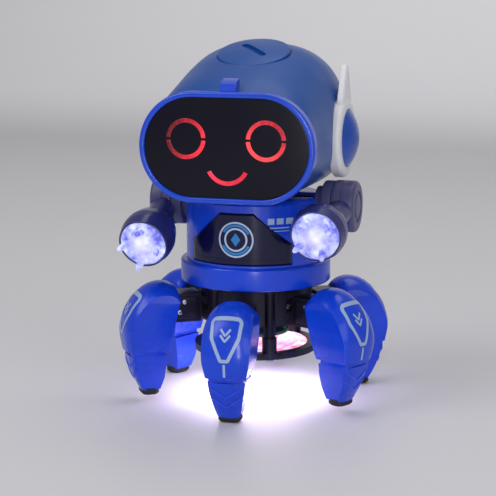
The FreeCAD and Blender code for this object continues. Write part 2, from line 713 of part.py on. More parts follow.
def light_cage():
    """Posts from the deck down to a ring that holds the clear dome."""
    ring = cylinder_z(CAGE_RING_R[1], *CAGE_RING_Z).cut(cylinder_z(CAGE_RING_R[0], 0, 50))
    posts = []
    for angle in POST_ANGLES:
        spot = polar(POST_RING_R, angle)
        posts.append(cylinder_z(POST_FOOT_R, CAGE_RING_Z[0], POST_FOOT_TOP, spot.x, spot.y))
        posts.append(cylinder_z(POST_R, POST_FOOT_TOP, DECK_Z[0], spot.x, spot.y))
    cage = ring.fuse(posts)
    mouth = cylinder_z(CAGE_RING_R[0], 0, CAGE_RING_Z[1])
    ledge = cylinder_z(DOME_R + 1.5, CAGE_RING_Z[1] - 1.4, CAGE_RING_Z[1] + 0.4)
    return cage.cut([mouth, ledge]).removeSplitter()


def light_dome():
    """Clear bowl that hangs through the ring, with a flange that rests on it."""
    steps = 8
    outer = []
    inner = []
    depth = CAGE_RING_Z[1] - 1.3 - DOME_BOTTOM
    for i in range(steps + 1):
        angle = math.pi / 2 * i / steps
        r = (DOME_R - 0.3) * math.sin(angle)
        z = CAGE_RING_Z[1] - 1.3 - depth * math.cos(angle)
        outer.append((r, z))
        inner.append((max(r - 1.4, 0.0), z + 1.4 * math.cos(angle)))
    flange_top = CAGE_RING_Z[1]
    lip = [(DOME_R + 1.3, CAGE_RING_Z[1] - 1.3), (DOME_R + 1.3, flange_top), (DOME_R - 1.7, flange_top)]
    return revolve_z(outer + lip + inner[::-1])


def light_board():
    """Round board with coloured lamps, hung from the crankshaft's brackets."""
    board = cylinder_z(18.0, 34.6, 36.2)
    lamps = []
    for i in range(6):
        spot = polar(10.0, 60 * i)
        lamps.append(cylinder_z(2.5, 30.0, 34.6, spot.x, spot.y))
    lamps.append(cylinder_z(2.5, 30.0, 34.6))
    hangers = []
    for x in (-16.4, 16.4):
        hangers.append(cylinder_z(1.2, 36.2, CRANK_Z - 5.0, x, 0))
    return board.fuse(lamps + hangers)


def base_screws():
    """Screw in the foot of each post, seen from below."""
    screws = []
    for angle in POST_ANGLES:
        spot = polar(POST_RING_R, angle)
        head = cylinder_z(2.4, CAGE_RING_Z[0] - 1.2, CAGE_RING_Z[0], spot.x, spot.y)
        cross = box(spot.x - 1.6, spot.x + 1.6, spot.y - 0.3, spot.y + 0.3, 20, CAGE_RING_Z[0] - 0.6)
        upright = box(spot.x - 0.3, spot.x + 0.3, spot.y - 1.6, spot.y + 1.6, 20, CAGE_RING_Z[0] - 0.6)
        screws.append(head.cut([cross, upright]))
    return Part.makeCompound(screws)


# ---------------------------------------------------------------- leg frames and legs
def leg_frame(legs, eccentric, hub_z, lift):
    """Ring with a strap round its eccentric and three arms that end inside the leg covers."""
    hub = cylinder_z(HUB_R[1], *hub_z).cut(cylinder_z(HUB_R[0], 0, 80))
    pieces = []
    for leg in legs:
        spoke = box(-6.0, 6.0, -ARM_BOX_R[0] - 1.0, -HUB_R[0] - 1.5, *hub_z)
        z0, z1 = ARM_BOX_Z[0] + lift, ARM_BOX_Z[1] + lift
        limb = box(-ARM_BOX_W / 2, ARM_BOX_W / 2, -52.0, -ARM_BOX_R[0], z0, z1)
        tongue = box(-5.0, 5.0, -ARM_BOX_R[1], -52.0, z0 + 3.0, z1 - 5.0)
        pieces.append(turn_to(spoke.fuse([limb, tongue]), LEG_ANGLES[leg]))
    x0, x1 = ECCENTRIC_X[eccentric]
    centre = CRANK_Z + (THROW if eccentric == "b" else -THROW)
    strap = cylinder_x(ECCENTRIC_R + 1.8, x0 + 0.4, x1 - 0.4, 0, centre)
    bars = []
    for sign in (-1, 1):
        y0, y1 = sorted((sign * 6.0, sign * (HUB_R[0] + 0.5)))
        bars.append(box(x0 + 0.4, x1 - 0.4, y0, y1, *hub_z))
    bore = cylinder_x(ECCENTRIC_R + FIT, -40, 40, 0, centre)
    around_shaft = strap.fuse(bars).cut(bore)
    return hub.fuse(pieces + [around_shaft]).removeSplitter()


def side_prism(outline, half_width):
    """Side outline of a front leg, made as wide as the leg."""
    face = face_of([V(-half_width, -r, z) for r, z in outline])
    return face.extrude(V(2 * half_width, 0, 0))


def front_prism(outline):
    """Front outline of a front leg, mirrored about its middle plane and made deep."""
    right = [V(x, 0, z) for x, z in outline]
    left = [V(-x, 0, z) for x, z in reversed(outline) if x > 0]
    return face_of(right + left).extrude(V(0, -100, 0))


def shrink(outline, centre, factors):
    return [(centre[0] + (a - centre[0]) * factors[0], centre[1] + (b - centre[1]) * factors[1])
            for a, b in outline]


def leg_cover():
    """Curved shell of a front leg, open towards the body."""
    outside = side_prism(COVER_SIDE, LEG_W / 2).common(front_prism(COVER_FRONT))
    cavity_side = shrink(COVER_SIDE, (40.0, 44.0), (0.935, 0.89))
    cavity_front = shrink(COVER_FRONT, (0.0, 44.0), (0.82, 0.90))
    cavity = side_prism(cavity_side, LEG_W / 2).common(front_prism(cavity_front))
    mouth = box(-10.0, 10.0, -52.0, -40.0, 38.0, 61.0).common(front_prism(cavity_front))
    peg_hole = box(-4.1, 4.1, -PEG_R[1] - 0.1, -PEG_R[0] + 0.1, LEG_GROOVE_Z - 1.0, LEG_GROOVE_Z + 4.0)
    return outside.cut([cavity, mouth, peg_hole])


def leg_tip():
    """Tapered claw below the cover of a front leg, with a peg that plugs into it."""
    claw = side_prism(TIP_SIDE, 12.0).common(front_prism(TIP_FRONT))
    peg = box(-4.0, 4.0, -PEG_R[1], -PEG_R[0], 22.0, LEG_GROOVE_Z + 2.0)
    return claw.fuse(peg).removeSplitter()


def foot_pad():
    """Rubber sole of a front leg."""
    pad = box(-6.1, 6.1, -FOOT_R - 4.9, -FOOT_R + 4.9, 0, PAD_H)
    uprights = [e for e in pad.Edges if abs(e.Vertexes[0].Z - e.Vertexes[1].Z) > 1]
    return pad.makeFillet(3.0, uprights)


def leg_screws(legs, lift):
    """Two screw heads on each side of each arm."""
    screws = []
    for leg in legs:
        for sign in (-1, 1):
            x0 = sign * ARM_BOX_W / 2
            for z in (52.5, 47.5):
                spot = V(x0, -43.0 + (z - 50.0) * 0.5, z + lift)
                head = Part.makeCylinder(1.3, 0.6, spot, X_AXIS * sign)
                screws.append(turn_to(head, LEG_ANGLES[leg]))
    return Part.makeCompound(screws)


# ---------------------------------------------------------------- build
def build_body():
    save("torso_shell", torso_shell())
    save("chest_plate", chest_plate())
    save("waist_flange", waist_flange())
    save("power_switch_knob", power_switch_knob())
    save("battery_box", battery_box())
    save("battery_cells", battery_cells())
    save("battery_door", battery_door())
    save("battery_door_screw", battery_door_screw())
    save("main_circuit_board", main_circuit_board())
    save("speaker", speaker())


def build_head():
    save("helmet_shell", helmet_shell())
    save("face_bezel", face_bezel())
    save("visor", visor())
    save("face_light_guides", Part.makeCompound(face_lights()))
    save("face_circuit_board", face_circuit_board())
    save("coin_slot_cap", coin_slot_cap())
    for side, place in (("right", lambda s: s), ("left", mirror_x)):
        save("ear_pod_" + side, place(ear_pod(side == "right")))
        save("ear_disc_" + side, place(ear_disc()))


def build_arms():
    for side, place in (("right", lambda s: s), ("left", mirror_x)):
        save("shoulder_collar_" + side, place(shoulder_collar()))
        save("arm_" + side, place(arm(side)))
        save("claw_lens_" + side, place(claw_lens(side)))
        save("hand_led_" + side, place(hand_led(side)))


def build_base():
    save("base_housing", base_housing())
    save("gearbox_cover", gearbox_cover())
    save("crankshaft", crankshaft())
    save("reduction_gear", reduction_gear())
    save("motor_pinion", motor_pinion())
    save("drive_motor", drive_motor())
    save("light_cage", light_cage())
    save("light_dome", light_dome())
    save("light_board", light_board())
    save("base_screws", base_screws())


def build_legs():
    lift = 2 * THROW
    save("leg_frame_a", leg_frame(LOW_LEGS, "a", (41.0, 44.0), 0.0))
    save("leg_frame_b", leg_frame(HIGH_LEGS, "b", (54.0, 57.0), lift))
    save("leg_screws_a", leg_screws(LOW_LEGS, 0.0))
    save("leg_screws_b", leg_screws(HIGH_LEGS, lift))
    for leg, angle in LEG_ANGLES.items():
        raised = lift if leg in HIGH_LEGS else 0.0
        shapes = {"leg_cover_": leg_cover(), "leg_tip_": leg_tip(), "foot_pad_": foot_pad()}
        for name, shape in shapes.items():
            placed = turn_to(shape, angle)
            placed.translate(V(0, 0, raised))
            save(name + leg, placed)


os.makedirs("parts", exist_ok=True)
build_body()
build_head()
build_arms()
build_base()
build_legs()
wheel_y, wheel_z = wheel_axis()
print("reduction wheel turns at y", round(wheel_y, 4), "z", round(wheel_z, 4))
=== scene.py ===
import json
import math
import bmesh
import bpy
from mathutils import Matrix, Vector


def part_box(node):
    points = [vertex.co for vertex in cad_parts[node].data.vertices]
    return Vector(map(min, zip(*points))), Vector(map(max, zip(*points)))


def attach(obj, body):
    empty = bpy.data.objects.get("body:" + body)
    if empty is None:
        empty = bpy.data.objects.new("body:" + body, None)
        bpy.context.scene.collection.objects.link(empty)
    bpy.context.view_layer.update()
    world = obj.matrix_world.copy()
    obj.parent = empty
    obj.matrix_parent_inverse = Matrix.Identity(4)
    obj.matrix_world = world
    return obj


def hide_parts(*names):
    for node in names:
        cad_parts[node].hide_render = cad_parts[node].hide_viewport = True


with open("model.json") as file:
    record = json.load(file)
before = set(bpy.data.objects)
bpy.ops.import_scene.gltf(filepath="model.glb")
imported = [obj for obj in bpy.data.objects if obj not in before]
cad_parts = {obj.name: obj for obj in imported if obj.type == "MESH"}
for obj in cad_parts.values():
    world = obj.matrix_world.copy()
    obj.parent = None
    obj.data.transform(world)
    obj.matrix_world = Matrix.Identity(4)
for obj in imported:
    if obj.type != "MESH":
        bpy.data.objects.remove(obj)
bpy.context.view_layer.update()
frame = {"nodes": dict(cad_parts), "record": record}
scene = bpy.context.scene
MM = 0.001

# ------------------------------------------------------------------ materials


NOISE_LOW, NOISE_HIGH = 0.3, 0.7    # nearly all of a noise texture's values lie between these


def node_material(name):
    """A new node material with its nodes, its links and its Principled shader."""
    material = bpy.data.materials.new(name)
    material.use_nodes = True
    nodes = material.node_tree.nodes
    return material, nodes, material.node_tree.links, nodes["Principled BSDF"]


def fill(node, values):
    for socket, value in values.items():
        node.inputs[socket].default_value = value


def rgba(colour):
    return (colour[0], colour[1], colour[2], 1.0)


def noise(nodes, links, coords, scale, detail=3.0, rough=0.5):
    texture = nodes.new("ShaderNodeTexNoise")
    fill(texture, {"Scale": scale, "Detail": detail, "Roughness": rough})
    links.new(coords, texture.inputs["Vector"])
    return texture.outputs["Fac"]


def remap(nodes, links, value, low, high, out_low, out_high):
    step = nodes.new("ShaderNodeMapRange")
    fill(step, {"From Min": low, "From Max": high, "To Min": out_low, "To Max": out_high})
    links.new(value, step.inputs["Value"])
    return step.outputs["Result"]


def blend_colour(nodes, links, factor, a, b):
    mix = nodes.new("ShaderNodeMix")
    mix.data_type = "RGBA"
    links.new(factor, mix.inputs["Factor"])
    for socket, colour in ((mix.inputs[6], a), (mix.inputs[7], b)):
        if isinstance(colour, tuple):
            socket.default_value = rgba(colour)
        else:
            links.new(colour, socket)
    return mix.outputs[2]


def add_bump(nodes, links, shader, height, strength, distance):
    surface = nodes.new("ShaderNodeBump")
    fill(surface, {"Strength": strength, "Distance": distance})
    links.new(height, surface.inputs["Height"])
    links.new(surface.outputs["Normal"], shader.inputs["Normal"])
    return surface


def plastic(name, colour, shade, rough=(0.2, 0.3), grain=900.0, bump=0.05, coat=0.0, wear_and_highlight=0.25,
            specular=0.5, edge_round=0.0):
    """Moulded plastic: uneven pigment, uneven gloss, a fine skin, and sharp edges made paler: partly wear,
    partly a painted highlight.
    """
    material, nodes, links, shader = node_material(name)
    coords = nodes.new("ShaderNodeTexCoord").outputs["Object"]
    cloud = noise(nodes, links, coords, 38.0, 4.0)
    fine = noise(nodes, links, coords, grain, 2.0)
    uneven = remap(nodes, links, cloud, NOISE_LOW, NOISE_HIGH, 0.0, 1.0)
    pigment = blend_colour(nodes, links, uneven, colour, shade)
    geometry = nodes.new("ShaderNodeNewGeometry")
    # Sharp edges are lightened towards a paler tone: partly wear, partly a painted highlight along ridges.
    wear_and_highlight_mask = remap(nodes, links, geometry.outputs["Pointiness"], 0.53, 0.62, 0.0, wear_and_highlight)
    pale = tuple(min(1.0, c * 1.35 + 0.05) for c in colour)
    links.new(blend_colour(nodes, links, wear_and_highlight_mask, pigment, pale), shader.inputs["Base Color"])
    gloss = remap(nodes, links, cloud, NOISE_LOW, NOISE_HIGH, rough[0], rough[1])
    links.new(gloss, shader.inputs["Roughness"])
    surface = add_bump(nodes, links, shader, fine, bump, 0.0002)
    if edge_round:
        soft = nodes.new("ShaderNodeBevel")
        soft.samples = 4
        soft.inputs["Radius"].default_value = edge_round
        links.new(soft.outputs["Normal"], surface.inputs["Normal"])
    fill(shader, {"Specular IOR Level": specular, "Coat Weight": coat, "Coat Roughness": 0.12})
    return material


def metal(name, colour, rough=(0.22, 0.38)):
    """Plated steel with fine turning marks."""
    material, nodes, links, shader = node_material(name)
    coords = nodes.new("ShaderNodeTexCoord").outputs["Object"]
    streak = noise(nodes, links, coords, 1500.0, 2.0)
    cloud = noise(nodes, links, coords, 90.0, 3.0)
    dull = tuple(c * 0.72 for c in colour)
    links.new(blend_colour(nodes, links, cloud, colour, dull), shader.inputs["Base Color"])
    gloss = remap(nodes, links, cloud, NOISE_LOW, NOISE_HIGH, rough[0], rough[1])
    links.new(gloss, shader.inputs["Roughness"])
    shader.inputs["Metallic"].default_value = 1.0
    add_bump(nodes, links, shader, streak, 0.15, 0.0001)
    return material


def lit_plastic(name, dark, bright, strength, scale, base=(0.5, 0.5, 0.55), centre=None, reach=0.012,
                middle=None, rough=0.18):
    """Clear plastic lit from behind. Cells of dark and bright light; brightest near the centre."""
    material, nodes, links, shader = node_material(name)
    coords = nodes.new("ShaderNodeTexCoord").outputs["Object"]
    cells = nodes.new("ShaderNodeTexVoronoi")
    cells.inputs["Scale"].default_value = scale
    links.new(coords, cells.inputs["Vector"])
    swirl = noise(nodes, links, coords, scale * 0.9, 4.0, 0.6)
    glow = blend_colour(nodes, links, remap(nodes, links, swirl, 0.38, 0.62, 0.0, 1.0), dark, bright)
    if centre is not None:
        away = nodes.new("ShaderNodeVectorMath")
        away.operation = "DISTANCE"
        links.new(coords, away.inputs[0])
        away.inputs[1].default_value = centre
        near = remap(nodes, links, away.outputs["Value"], 0.0, reach, 1.0, 0.0)
        glow = blend_colour(nodes, links, near, glow, middle)
    links.new(glow, shader.inputs["Emission Color"])
    power = remap(nodes, links, cells.outputs["Distance"], 0.0, 0.6, strength * 1.15, strength * 0.75)
    links.new(power, shader.inputs["Emission Strength"])
    shader.inputs["Base Color"].default_value = rgba(base)
    gloss = remap(nodes, links, swirl, NOISE_LOW, NOISE_HIGH, rough * 0.7, rough * 1.3)
    links.new(gloss, shader.inputs["Roughness"])
    add_bump(nodes, links, shader, cells.outputs["Distance"], 0.25, 0.0004)
    return material


def graded_light(name, dim, bright, strength, start, end):
    """Red light guide whose light grows from one point to another."""
    material, nodes, links, shader = node_material(name)
    coords = nodes.new("ShaderNodeTexCoord").outputs["Object"]
    offset = nodes.new("ShaderNodeVectorMath")
    offset.operation = "SUBTRACT"
    links.new(coords, offset.inputs[0])
    offset.inputs[1].default_value = start
    run = Vector(end) - Vector(start)
    along = nodes.new("ShaderNodeVectorMath")
    along.operation = "DOT_PRODUCT"
    links.new(offset.outputs["Vector"], along.inputs[0])
    along.inputs[1].default_value = run / run.length_squared
    ripple = noise(nodes, links, coords, 420.0, 3.0, 0.6)
    wave = nodes.new("ShaderNodeMath")
    wave.operation = "MULTIPLY_ADD"
    links.new(ripple, wave.inputs[0])
    wave.inputs[1].default_value = 0.7
    links.new(along.outputs["Value"], wave.inputs[2])
    level = remap(nodes, links, wave.outputs["Value"], 0.25, 1.35, 0.0, 1.0)
    links.new(blend_colour(nodes, links, level, dim, bright), shader.inputs["Emission Color"])
    power = remap(nodes, links, level, 0.0, 1.0, strength[0], strength[1])
    links.new(power, shader.inputs["Emission Strength"])
    shader.inputs["Base Color"].default_value = (0.05, 0.002, 0.006, 1.0)
    gloss = remap(nodes, links, ripple, NOISE_LOW, NOISE_HIGH, 0.2, 0.35)
    links.new(gloss, shader.inputs["Roughness"])
    return material


# Colours are linear. The first is the plastic's own, the second its deeper clouds.
blue = plastic("blue_gloss", (0.004, 0.060, 0.72), (0.003, 0.048, 0.62),
    rough=(0.22, 0.29), grain=700.0, coat=0.15, wear_and_highlight=0.40, specular=0.42)
blue_head = plastic("blue_helmet", (0.007, 0.080, 0.36), (0.006, 0.068, 0.31),
    rough=(0.30, 0.38), grain=700.0, bump=0.06, wear_and_highlight=0.35, specular=0.36)
blue_rim = plastic("blue_rim", (0.005, 0.066, 0.66), (0.004, 0.056, 0.58),
    rough=(0.2, 0.27), grain=700.0, coat=0.3, wear_and_highlight=0.3)
ear_blue = plastic("ear_blue", (0.006, 0.070, 0.46), (0.005, 0.058, 0.40),
    rough=(0.24, 0.32), grain=700.0, coat=0.2, wear_and_highlight=0.3)
visor_black = plastic("visor_smoke", (0.0045, 0.004, 0.013), (0.0035, 0.003, 0.010),
    rough=(0.30, 0.38), grain=500.0, bump=0.03, wear_and_highlight=0.02, specular=0.22)
chest_black = plastic("chest_gloss", (0.004, 0.004, 0.046), (0.003, 0.003, 0.036),
    rough=(0.13, 0.19), grain=600.0, bump=0.03, coat=0.2, wear_and_highlight=0.1, specular=0.25)
base_black = plastic("base_black", (0.006, 0.004, 0.018), (0.004, 0.003, 0.013),
    rough=(0.30, 0.42), grain=800.0, bump=0.08, wear_and_highlight=0.3, specular=0.25, edge_round=0.0004)
shoulder_black = plastic("shoulder_satin", (0.078, 0.076, 0.200), (0.062, 0.060, 0.165),
    rough=(0.34, 0.44), bump=0.10, wear_and_highlight=0.35)
cup_indigo = plastic("cup_indigo", (0.024, 0.028, 0.175), (0.019, 0.022, 0.140),
    rough=(0.22, 0.32), bump=0.07, coat=0.2, wear_and_highlight=0.35)
white_shell = plastic("white_shell", (0.80, 0.80, 0.83), (0.75, 0.75, 0.79),
    rough=(0.28, 0.38), grain=800.0, bump=0.06, coat=0.1, wear_and_highlight=0.2)
PRINT_FINISH = dict(rough=(0.35, 0.5), grain=2500.0, bump=0.15, wear_and_highlight=0.0)
decal_pale = plastic("print_pale", (0.36, 0.48, 0.72), (0.31, 0.43, 0.66), **PRINT_FINISH)
decal_white = plastic("print_white", (0.50, 0.62, 0.86), (0.44, 0.56, 0.80), **PRINT_FINISH)
decal_blue = plastic("print_blue", (0.02, 0.24, 0.62), (0.02, 0.19, 0.54), **PRINT_FINISH)
board_green = plastic("board_green", (0.02, 0.16, 0.07), (0.015, 0.12, 0.05),
    rough=(0.35, 0.5), grain=1200.0, bump=0.2, wear_and_highlight=0.2)
gear_white = plastic("gear_white", (0.78, 0.77, 0.72), (0.70, 0.69, 0.64),
    rough=(0.35, 0.5), bump=0.08, wear_and_highlight=0.1)
jacket = plastic("battery_jacket", (0.05, 0.22, 0.10), (0.04, 0.17, 0.08),
    rough=(0.25, 0.35), grain=600.0, bump=0.03, wear_and_highlight=0.1)
speaker_grey = plastic("speaker_grey", (0.08, 0.08, 0.09), (0.06, 0.06, 0.07),
    rough=(0.4, 0.55), grain=1500.0, bump=0.3, wear_and_highlight=0.2)
rubber = plastic("foot_rubber", (0.010, 0.009, 0.014), (0.016, 0.015, 0.020),
    rough=(0.55, 0.75), grain=2200.0, bump=0.35, wear_and_highlight=0.5, specular=0.3)
steel = metal("bright_steel", (0.72, 0.72, 0.76))
eye_bright = graded_light("eye_light_bright", (0.50, 0.002, 0.022), (1.0, 0.075, 0.080),
    strength=(0.72, 1.40), start=(0.030, -0.056, 0.155), end=(0.012, -0.056, 0.136))
eye_dim = graded_light("eye_light_dim", (0.12, 0.001, 0.006), (0.95, 0.028, 0.050),
    strength=(0.12, 1.25), start=(-0.034, -0.056, 0.149), end=(-0.0105, -0.056, 0.143))
smile_light = graded_light("smile_light", (0.80, 0.008, 0.045), (1.0, 0.045, 0.095),
    strength=(0.85, 1.15), start=(0.012, -0.056, 0.125), end=(-0.010, -0.056, 0.130))
chamber_light = lit_plastic("chamber_light", (1.0, 0.035, 0.20), (0.95, 0.84, 1.0), strength=1.5, scale=110.0)
lamp_colours = {
    "red": lit_plastic("lamp_red", (1.0, 0.01, 0.06), (1.0, 0.08, 0.22), strength=2.6, scale=300.0),
    "green": lit_plastic("lamp_green", (0.02, 0.75, 0.35), (0.10, 1.0, 0.60), strength=2.0, scale=300.0),
    "blue": lit_plastic("lamp_blue", (0.06, 0.10, 1.0), (0.20, 0.35, 1.0), strength=2.4, scale=300.0),
}
lamp_white = lit_plastic("lamp_white", (0.8, 0.75, 1.0), (1.0, 0.95, 1.0), strength=9.0, scale=200.0)

SLOT_MATERIALS = {
    "blue_shell": blue, "chest_black": chest_black, "visor_black": visor_black, "red_light": eye_bright,
    "white_shell": white_shell, "shoulder_black": shoulder_black, "clear_lens": lamp_white,
    "clear_dome": chamber_light, "base_black": base_black, "board_green": board_green,
    "bright_steel": steel, "gear_white": gear_white, "battery_jacket": jacket,
    "speaker_grey": speaker_grey, "foot_rubber": rubber,
}
for part in frame["record"]["subparts"]:
    node_object = frame["nodes"][part["node"]]
    for material_slot in node_object.material_slots:
        material_slot.link = "OBJECT"
        material_slot.material = SLOT_MATERIALS[part["material_slot"]]

# ------------------------------------------------------------------ mesh helpers (millimetres in, metres out)


CREASE = 34.0       # degrees past which an edge is drawn sharp


def add_object(name, data):
    obj = bpy.data.objects.new(name, data)
    scene.collection.objects.link(obj)
    return obj


def make_mesh(name, verts, faces):
    """A mesh from points in millimetres, with its faces turned outwards."""
    mesh = bpy.data.meshes.new(name)
    mesh.from_pydata([Vector(v) * MM for v in verts], [], faces)
    bm = bmesh.new()
    bm.from_mesh(mesh)
    bmesh.ops.remove_doubles(bm, verts=bm.verts, dist=1e-6)
    bmesh.ops.recalc_face_normals(bm, faces=bm.faces)
    bm.to_mesh(mesh)
    bm.free()
    return mesh


def shade(mesh, crease):
    for polygon in mesh.polygons:
        polygon.use_smooth = True
    mesh.set_sharp_from_angle(angle=math.radians(crease))


def bevel_edges(obj, width, segments, angle):
    modifier = obj.modifiers.new("edge", "BEVEL")
    modifier.width = width * MM
    modifier.segments = segments
    modifier.limit_method = "ANGLE"
    modifier.angle_limit = math.radians(angle)


def piece(name, verts, faces, material, body, slot, stands_for=(), crease=CREASE, bevel=0.0):
    """One visible piece: its mesh, its finish, the body it rides on and the CAD nodes it stands for."""
    mesh = make_mesh(name, verts, faces)
    shade(mesh, crease)
    mesh.materials.append(material)
    obj = add_object(name, mesh)
    if bevel:
        bevel_edges(obj, bevel, 3, crease)
    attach(obj, body)
    if stands_for:
        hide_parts(*stands_for)
    return obj


def rounded(points, radii, steps=5, closed=False):
    """A run of 2-D points with its corners turned into arcs."""
    out = []
    count = len(points)
    for i, point in enumerate(points):
        radius = radii[i] if isinstance(radii, (list, tuple)) else radii
        here = Vector(point)
        if radius <= 0 or (not closed and i in (0, count - 1)):
            out.append(here)
            continue
        to_last = Vector(points[i - 1]) - here
        to_next = Vector(points[(i + 1) % count]) - here
        u, v = to_last.normalized(), to_next.normalized()
        angle = u.angle(v)
        if angle > math.pi - 0.03:
            out.append(here)
            continue
        cut = min(radius / math.tan(angle / 2), 0.48 * min(to_last.length, to_next.length))
        arc = cut * math.tan(angle / 2)
        centre = here + (u + v).normalized() * (arc / math.sin(angle / 2))
        first, last = here + u * cut - centre, here + v * cut - centre
        total = first.angle(last)
        for k in range(steps + 1):
            t = k / steps
            a, b = math.sin((1 - t) * total), math.sin(t * total)
            out.append(centre + (first * a + last * b) / math.sin(total))
    return out


def smooth_run(points, per_span=6):
    """Catmull-Rom curve through a run of 2-D or 3-D points."""
    points = [Vector(p) for p in points]
    out = []
    for i in range(len(points) - 1):
        p0 = points[max(i - 1, 0)]
        p1, p2 = points[i], points[i + 1]
        p3 = points[min(i + 2, len(points) - 1)]
        for k in range(per_span):
            t = k / per_span
            out.append(0.5 * (2 * p1 + (p2 - p0) * t + (2 * p0 - 5 * p1 + 4 * p2 - p3) * t * t
                              + (3 * p1 - p0 - 3 * p2 + p3) * t ** 3))
    out.append(points[-1])
    return out


def table(rows, x):
    """Straight-line lookup in rows of (x, value)."""
    if x <= rows[0][0]:
        return rows[0][1]
    for (x0, y0), (x1, y1) in zip(rows, rows[1:]):
        if x <= x1:
            return y0 + (y1 - y0) * (x - x0) / (x1 - x0)
    return rows[-1][1]


def lathe(profile, origin=(0, 0, 0), axis=(0, 0, 1), steps=96, closed=False):
    """Profile of (radius, height) turned about an axis."""
    axis = Vector(axis).normalized()
    origin = Vector(origin)
    side = axis.cross(Vector((0, 0, 1)))
    if side.length < 0.1:
        side = Vector((1, 0, 0))
    side.normalize()
    up = axis.cross(side)
    verts, rings, faces = [], [], []
    for radius, height in profile:
        centre = origin + axis * height
        if radius < 1e-4:
            verts.append(centre)
            rings.append([len(verts) - 1] * steps)
            continue
        ring = []
        for i in range(steps):
            a = 2 * math.pi * i / steps
            verts.append(centre + (side * math.cos(a) + up * math.sin(a)) * radius)
            ring.append(len(verts) - 1)
        rings.append(ring)
    pairs = list(zip(rings, rings[1:]))
    if closed:
        pairs.append((rings[-1], rings[0]))
    for a, b in pairs:
        for i in range(steps):
            j = (i + 1) % steps
            corners = [a[i], a[j], b[j], b[i]]
            corners = [c for k, c in enumerate(corners) if c not in corners[:k]]
            if len(corners) > 2:
                faces.append(corners)
    return verts, faces


def grid(rows, closed_rows=False, closed_columns=False):
    """Rows of points joined into a sheet."""
    columns = len(rows[0])
    verts = [v for row in rows for v in row]
    faces = []
    last_row = len(rows) if closed_rows else len(rows) - 1
    last_column = columns if closed_columns else columns - 1
    for i in range(last_row):
        for j in range(last_column):
            a = i * columns + j
            b = i * columns + (j + 1) % columns
            c = ((i + 1) % len(rows)) * columns + (j + 1) % columns
            d = ((i + 1) % len(rows)) * columns + j
            faces.append((a, b, c, d))
    return verts, faces


def join(*parts):
    verts, faces = [], []
    for v, f in parts:
        start = len(verts)
        verts.extend(v)
        faces.extend(tuple(start + k for k in face) for face in f)
    return verts, faces


def with_ends(verts, faces, count):
    """Closes the first and the last ring of a tube with one face each."""
    return verts, faces + [tuple(range(count)), tuple(range(len(verts) - count, len(verts)))]


def moved(part, matrix):
    return [matrix @ Vector(v) for v in part[0]], part[1]


def cut_with(obj, tool_verts, tool_faces):
    """Subtracts a closed tool from a piece and keeps its smooth shading."""
    tool = add_object("tool", make_mesh("tool", tool_verts, tool_faces))
    modifier = obj.modifiers.new("cut", "BOOLEAN")
    modifier.operation = "DIFFERENCE"
    modifier.solver = "EXACT"
    modifier.object = tool
    bpy.context.view_layer.update()
    graph = bpy.context.evaluated_depsgraph_get()
    result = bpy.data.meshes.new_from_object(obj.evaluated_get(graph))
    obj.modifiers.remove(modifier)
    obj.data = result
    bpy.data.objects.remove(tool)
    shade(result, CREASE)


# ------------------------------------------------------------------ head
HEAD_Z = 141.4                  # height of the middle of the face and of the ears
BEZEL_W, BEZEL_H = 93.2, 57.2   # outside of the face rim
BEZEL_FRONT, BEZEL_BACK = -57.0, -50.5
HELMET_LIP_Y = -44.0            # how far back the helmet's front is hollow
HELMET_LIP_SCALE = (0.95, 0.93)
HELMET = (                      # sections from front to back: y, half width, lowest and highest z
    (-50.5, 45.6, 114.0, 169.0), (-38.0, 45.2, 112.8, 175.4), (-22.0, 45.6, 112.2, 181.5),
    (-4.0, 46.2, 112.0, 187.8), (12.0, 46.4, 112.0, 191.2), (26.0, 44.6, 113.0, 189.2),
    (38.0, 38.6, 117.0, 181.5), (46.0, 29.0, 123.5, 171.0), (50.5, 16.0, 133.0, 157.0),
)
HELMET_TAIL = (Vector((51.0, 10.0, 137.0, 151.0)), Vector((51.2, 4.0, 140.0, 144.5)))
HELMET_POWER = 2.6              # 2 would make each section an ellipse
EAR_Y, EAR_BASE_X = 8.0, 43.2
EAR_RECESS_R, EAR_RECESS_X = 22.6, 43.4
CAP_CENTRE = Vector((0, -4.0, 187.7))
CAP_TILT = math.radians(18.0)
CAP_AXIS = Vector((0, -math.sin(CAP_TILT), math.cos(CAP_TILT)))


def superellipse_row(y, half_width, low, high, count=112):
    """One section of the helmet: a rounded box whose top and bottom may differ in height."""
    power = 2 / HELMET_POWER
    row = []
    for i in range(count):
        a = 2 * math.pi * i / count
        c, s = math.cos(a), math.sin(a)
        reach = high - HEAD_Z if s >= 0 else HEAD_Z - low
        x = half_width * math.copysign(abs(c) ** power, c)
        z = HEAD_Z + reach * math.copysign(abs(s) ** power, s)
        row.append(Vector((x, y, z)))
    return row


def build_helmet():
    rows = [superellipse_row(*section) for section in smooth_run(HELMET, 8) + list(HELMET_TAIL)]
    across, upward = HELMET_LIP_SCALE
    lip = [(v.x * across, HEAD_Z + (v.z - HEAD_Z) * upward) for v in rows[0]]
    inner = [Vector((x, BEZEL_BACK, z)) for x, z in lip]
    deep = [Vector((x, HELMET_LIP_Y, z)) for x, z in lip]
    verts, faces = grid([deep, inner] + rows, closed_columns=True)
    count = len(rows[0])
    faces.append(tuple(range(len(verts) - count, len(verts))))
    faces.append(tuple(range(count)))
    shell = piece("helmet", verts, faces, blue_head, "chassis", "blue_shell", ("helmet_shell",),
                  crease=30.0)
    seat = lathe([(0, -2.9), (20.0, -2.9), (20.0, 14.0), (0, 14.0)], CAP_CENTRE, CAP_AXIS, 96)
    cut_with(shell, *seat)
    for sign in (1, -1):
        recess = lathe([(0, 0), (EAR_RECESS_R, 0), (EAR_RECESS_R, 9.0), (0, 9.0)],
                       (sign * EAR_RECESS_X, EAR_Y, HEAD_Z), (sign, 0, 0), 96)
        cut_with(shell, *recess)


